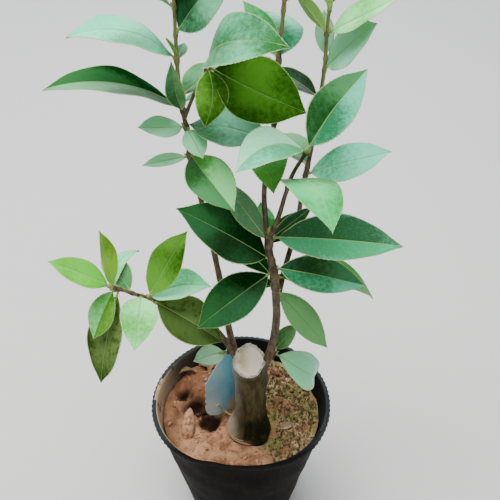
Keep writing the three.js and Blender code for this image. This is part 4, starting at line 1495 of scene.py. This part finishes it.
blades = {look: leaf_finish(look) for look in LOOKS}
veins = {look: vein_finish(look) for look in LOOKS}
stalk_part = plain_leaf_part("leaf_stalk", (0.35, 0.42, 0.12), 0.42)
pale_parts = [
    plain_leaf_part("midrib_yellow", (0.42, 0.58, 0.2), 0.4),
    plain_leaf_part("margin_pale", (0.42, 0.58, 0.26), 0.45),
    plain_leaf_part("underside_pale", (0.30, 0.50, 0.10), 0.55),
    stalk_part,
]
green_parts = [
    plain_leaf_part("midrib_green", (0.24, 0.4, 0.14), 0.4),
    plain_leaf_part("margin_green", (0.26, 0.42, 0.14), 0.45),
    plain_leaf_part("underside_green", (0.16, 0.28, 0.10), 0.55),
    stalk_part,
]
dry_parts = [plain_leaf_part("leaf_dry_edge", (0.3, 0.2, 0.11), 0.7)] * 4
print("leaf looks:", len(LOOKS), "and", len(TWO_TONE), "in two tones")

# %% The sprays of leaves
spray_rng = random.Random(21)


def leaf_slots(row, finishes):
    """The material number of each part of a leaf, from its look."""
    near, far = TWO_TONE.get(row.look, (row.look, row.look))
    parts = [blades[near], blades[far], veins[near], veins[far]]
    if near == "dry":
        parts += dry_parts
    else:
        parts += pale_parts if near in PALE_LOOKS else green_parts
    for part in parts:
        if part not in finishes:
            finishes.append(part)
    return [finishes.index(part) for part in parts]


for name, limb in SHOOTS.items():
    heap, finishes = Heap(), []
    for row in LEAVES[name]:
        add_leaf(heap, row, limb.at(limb.leafy(row.at)), leaf_slots(row, finishes), spray_rng)
    spray = heap.piece("leaves_" + name, finishes)
    finish_off(spray, ["foliage_" + name], 50)

# %% [markdown]
# Between a stalk and the shoot sits a small pointed bud, and a larger one ends each shoot. One bud is a
# short path with a radius that swells and closes; its overlapping scales are a shallow spiral ridge. They
# are all joined, as they are one kind.

# %% The buds
BUD_SIDES = 10
BUD_SHAPE = ((0, 0.5), (0.12, 0.85), (0.3, 1.0), (0.5, 0.92), (0.7, 0.66), (0.86, 0.36), (1.0, 0.06))


def add_bud(heap, root, direction, long, thick):
    direction = unit(np.asarray(direction, float))
    line = Limb([root, root + direction * long * 0.5, root + direction * long], 0, (1, 1), 8)
    shares = np.linspace(0, 1, 13)
    radii = np.interp(shares, *zip(*BUD_SHAPE)) * thick

    def scales(share, angle, place):
        return 0.1 * thick * math.sin(3 * angle + share * 14) * (1 - share)

    heap.add(*tube(line, shares, radii, BUD_SIDES, scales))


bud_heap = Heap()
for name, limb in SHOOTS.items():
    for row in LEAVES[name]:
        if row.at < 0.97:
            share = limb.leafy(row.at)
            along = leaf_axes(row)[0]
            lean = unit(limb.heading(share) + 0.8 * along)
            add_bud(bud_heap, limb.at(share) + along * limb.thick(share) * 0.8, lean, 4.0, 1.0)
    size = 1.6 if name == "left" else 1.0
    add_bud(bud_heap, limb.at(1) - limb.heading(1), limb.heading(1), 8 * size, 1.9 * size)
bud_finish = grained(
    "bud_scales",
    (420, 3, 0.5),
    (0.17, 0.27, 0.06),
    (0.4, 0.5, 0.17),
    bump=(0.0003, 0.6),
    ramp=(0.3, 0.7),
    Coat_Weight=0.2,
    Roughness=0.4,
)
buds = bud_heap.piece("buds", [bud_finish])
finish_off(buds, angle=50)

# %% [markdown]
# A tan tie runs from the label's hole to the stump, and a few pale dry strands loop round the stump's foot.
# A few dead leaves lie in the pot. The dead leaves come from the same leaf maker, short, curled and brown.

# %% The tie, the strands and the dead leaves
tie_path = [planted(-6, 13.5, -0.6), planted(-6, 12.6, 1.6), planted(-1.5, 9, 3.2), (-13.5, -6, 129)]
tie_path += [(-9, -10, 130.5), (-5, -13, 137), (-2, -15, 142)]
STRAND_COLORS = ((0.36, 0.25, 0.14), (0.62, 0.47, 0.3))
strand_finish = grained("dry_strand", (500, 3, 0.5), *STRAND_COLORS, bump=(0.0002, 0.6), Roughness=0.7)
strand_heap = Heap()


def add_strand(points, thick):
    line = Limb(points, 0, (thick, thick), 12)
    shares = np.linspace(0, 1, max(8, math.ceil(line.length / 1.2)))
    radii = [thick * min(1.0, 0.3 + 6 * min(s, 1 - s)) for s in shares]
    strand_heap.add(*tube(line, shares, radii, 8))


def round_stump(height, bearing, clear):
    radius = np.interp(height, *zip(*STUMP_PROFILE)) + swelling(bearing, height) + clear
    x, y = stump_axis(height)
    angle = math.radians(bearing)
    return x + radius * math.cos(angle), y + radius * math.sin(angle), STUMP_BASE + height


add_strand(tie_path, 0.8)
for low, start, end in ((3.0, 185, 262), (5.2, 192, 250), (1.8, 205, 270)):
    bearings = np.linspace(start, end, 7)
    heights = low + 3.5 * np.linspace(1, 0, 7) ** 2
    add_strand([round_stump(h, b, 0.35) for h, b in zip(heights, bearings)], 0.45)
strands = strand_heap.piece("tie_and_strands", [strand_finish])
finish_off(strands)

scrap_rows = [
    Leaf(0, 200, 12, 17, 8, "dry", roll=25, arch=60, keel=25),
    Leaf(0, 330, 8, 14, 7, "dry", roll=-20, arch=50, keel=20),
    Leaf(0, 80, 10, 16, 6, "dry", roll=15, arch=70, keel=30),
    Leaf(0, 20, 6, 15, 7, "dry", roll=10, arch=40, keel=20),
]
scrap_places = [(-44, 47), (-41, 57), (-32, 46), (34, -18)]
scrap_heap, scrap_finishes = Heap(), []
for row, (x, y) in zip(scrap_rows, scrap_places):
    root = np.array([x, y, on_soil(x, y) + 0.8])
    add_leaf(scrap_heap, row, root, leaf_slots(row, scrap_finishes), spray_rng)
scraps = scrap_heap.piece("dead_leaves", scrap_finishes)
finish_off(scraps, angle=50)
